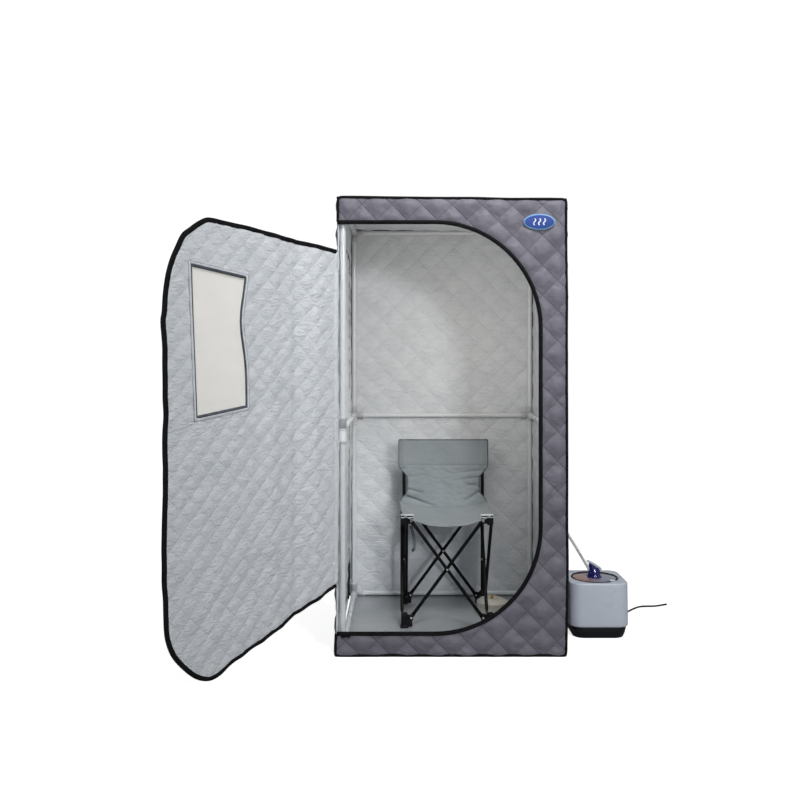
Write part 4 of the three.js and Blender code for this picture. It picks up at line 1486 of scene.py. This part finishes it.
def build_herb_box():
    """A round box with a ring of vents and a spout on top."""
    low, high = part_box("herb_box")
    centre = ((low.x + high.x) / 2, (low.y + high.y) / 2)
    r, z0, z1 = (high.x - low.x) / 2, low.z, high.z
    profile = [(r - 0.006, z0), (r - 0.001, z0 + 0.003), (r, z0 + 0.007), (r, z1 - 0.018),
               (r + 0.0015, z1 - 0.0165), (r + 0.0015, z1 - 0.013), (r - 0.003, z1 - 0.011),
               (r - 0.012, z1 - 0.004), (r - 0.03, z1 - 0.001), (0.013, z1), (0.012, z1 - 0.004)]
    vent = [(0.0035, 0), (0.0042, 0.0012), (0.0030, 0.0022), (0.0022, 0.0006)]
    vents = [turned(vent, spot, UP, 14) for spot in around(centre, r - 0.020, z1 - 0.0022, 12)]
    part("herb_pot", joined([loft(rings_of(profile, centre, 72)), *vents]), MAT["cream"], "herb_box")
    spout = [(0.006, 0), (0.0065, 0.001), (0.0065, 0.006), (0.0045, 0.008), (0.0045, 0.013), (0.002, 0.0135)]
    extra("herb_spout", turned(spout, [*centre, z1 - 0.003], UP, 24), MAT["brass"], "herb_box")


# ---------------------------------------------------------------- small sewn and metal pieces
def build_zip_slider():
    (x0, _, z0), (x1, y1, z1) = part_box("zip_slider")
    z = (z0 + z1) / 2
    body = soft_box([x0, y1 - 0.005, z - 0.005], [x0 + 0.012, y1, z + 0.005], 0.002)
    tab = soft_box([x0 + 0.010, y1 - 0.0065, z - 0.003], [x1 + 0.010, y1 - 0.0045, z + 0.003], 0.0009)
    part("zip_pull", joined([body, tab]), MAT["coil"], "zip_slider")


def build_badge():
    """A plain oval patch with a steam-wave mark."""
    x0, z0 = RIGHT - 0.097, ROOF - 0.0857
    half_x, half_z = 0.055, 0.028
    y = FRONT - PUFF_OUT - 0.0035

    def oval(scale, depth):
        c, s = circle(1.0, 64).T
        return xyz(x0 + half_x * scale * c, depth, z0 + half_z * (1 - (1 - scale) * half_x / half_z) * s)

    rim = loft([oval(1.0, FRONT), oval(1.0, y + 0.0008), oval(0.985, y)])
    field = loft([oval(0.92, y + 0.0005), oval(0.92, y - 0.0004), oval(0.90, y - 0.0007)])
    t = np.linspace(-1, 1, 26)
    waves = [sweep(xyz(x0 + k * 0.017 + 0.0035 * np.sin(t * math.pi), y - 0.0009, z0 + t * 0.0115),
                   flat_section(0.0042, 0.0016, 10), TO_FRONT) for k in (-1, 0, 1)]
    extra("badge_rim", rim, plain_thread("badge_pale", rgb(120, 165, 205)), "cover_front")
    extra("badge_field", field, plain_thread("badge_blue", rgb(24, 66, 150)), "cover_front")
    extra("badge_waves", joined(waves), plain_thread("badge_white", rgb(232, 236, 240)), "cover_front")


# ---------------------------------------------------------------- stage
def build_stage():
    half, z = 9, -0.001
    corners = [(-half, -half, z), (half, -half, z), (half, half, z), (-half, half, z)]
    mesh_object("studio_floor", corners, [(0, 1, 2, 3)], [stage_material()], smooth=False)
    build_world(0.35)
    lamp("key", (1.55, -4.6, 1.95), (-0.05, 0.0, 0.85), 0.6, 63)
    lamp("high", (0.5, -2.2, 3.5), (0.0, -0.4, 1.45), 1.0, 7.8, spread=56)
    lamp("left", (-2.6, -3.4, 1.35), (-0.6, -0.6, 0.5), 2.2, 10)
    lamp("inner", (0.06, -0.35, 1.08), (0.08, 0.4, 1.0), 0.64, 2.1, (1.0, 0.91, 0.80))


def build_world(strength):
    """A white backdrop that lights the scene less brightly than it looks."""
    world = bpy.data.worlds.new("studio")
    bpy.context.scene.world = world
    world.use_nodes = True
    tree = world.node_tree
    seen, light = tree.nodes["Background"], tree.nodes.new("ShaderNodeBackground")
    for shader, colour, power in ((seen, (1.0, 1.0, 1.0, 1.0), 1.05),
                                  (light, (0.97, 0.985, 1.0, 1.0), strength)):
        shader.inputs["Color"].default_value = colour
        shader.inputs["Strength"].default_value = power
    path = tree.nodes.new("ShaderNodeLightPath")
    mix = tree.nodes.new("ShaderNodeMixShader")
    tree.links.new(path.outputs["Is Camera Ray"], mix.inputs[0])
    tree.links.new(light.outputs[0], mix.inputs[1])
    tree.links.new(seen.outputs[0], mix.inputs[2])
    tree.links.new(mix.outputs[0], tree.nodes["World Output"].inputs["Surface"])


def lamp(name, place, target, size, power, colour=(1.0, 1.0, 1.0), spread=180):
    data = bpy.data.lights.new(name, "AREA")
    data.color = colour
    data.shape = "DISK"
    data.size = size
    data.energy = power
    data.spread = math.radians(spread)
    obj = bpy.data.objects.new(name, data)
    obj.location = place
    obj.rotation_euler = (Vector(target) - Vector(place)).to_track_quat("-Z", "Y").to_euler()
    obj.visible_camera = False
    bpy.context.scene.collection.objects.link(obj)


def build_camera():
    """The photo's view: level, straight at the front face, with the picture shifted."""
    lens_mm, camera_x, distance, height = 40.55, -0.178, 3.14, 1.052
    data = bpy.data.cameras.new("view")
    data.lens = lens_mm
    data.sensor_width = 36.0
    data.shift_x, data.shift_y = -0.0012, -0.0563
    data.clip_end = 50
    camera = bpy.data.objects.new("view", data)
    camera.location = (camera_x, FRONT - distance, height)
    camera.rotation_euler = (math.pi / 2, 0, 0)
    bpy.context.scene.collection.objects.link(camera)
    bpy.context.scene.camera = camera
    bpy.context.scene.view_settings.view_transform = "Standard"


build_front_panel()
build_shell()
build_wall_zip()
build_edges()
build_doorway_tape()
build_floor_mat()
build_leaf()
build_tubes()
build_fittings()
build_bars()
build_feet_and_hubs()
build_posts()
build_sling()
build_pot()
build_nozzle()
build_cap()
build_hose_and_cord()
build_herb_box()
build_zip_slider()
build_badge()
build_stage()
build_camera()
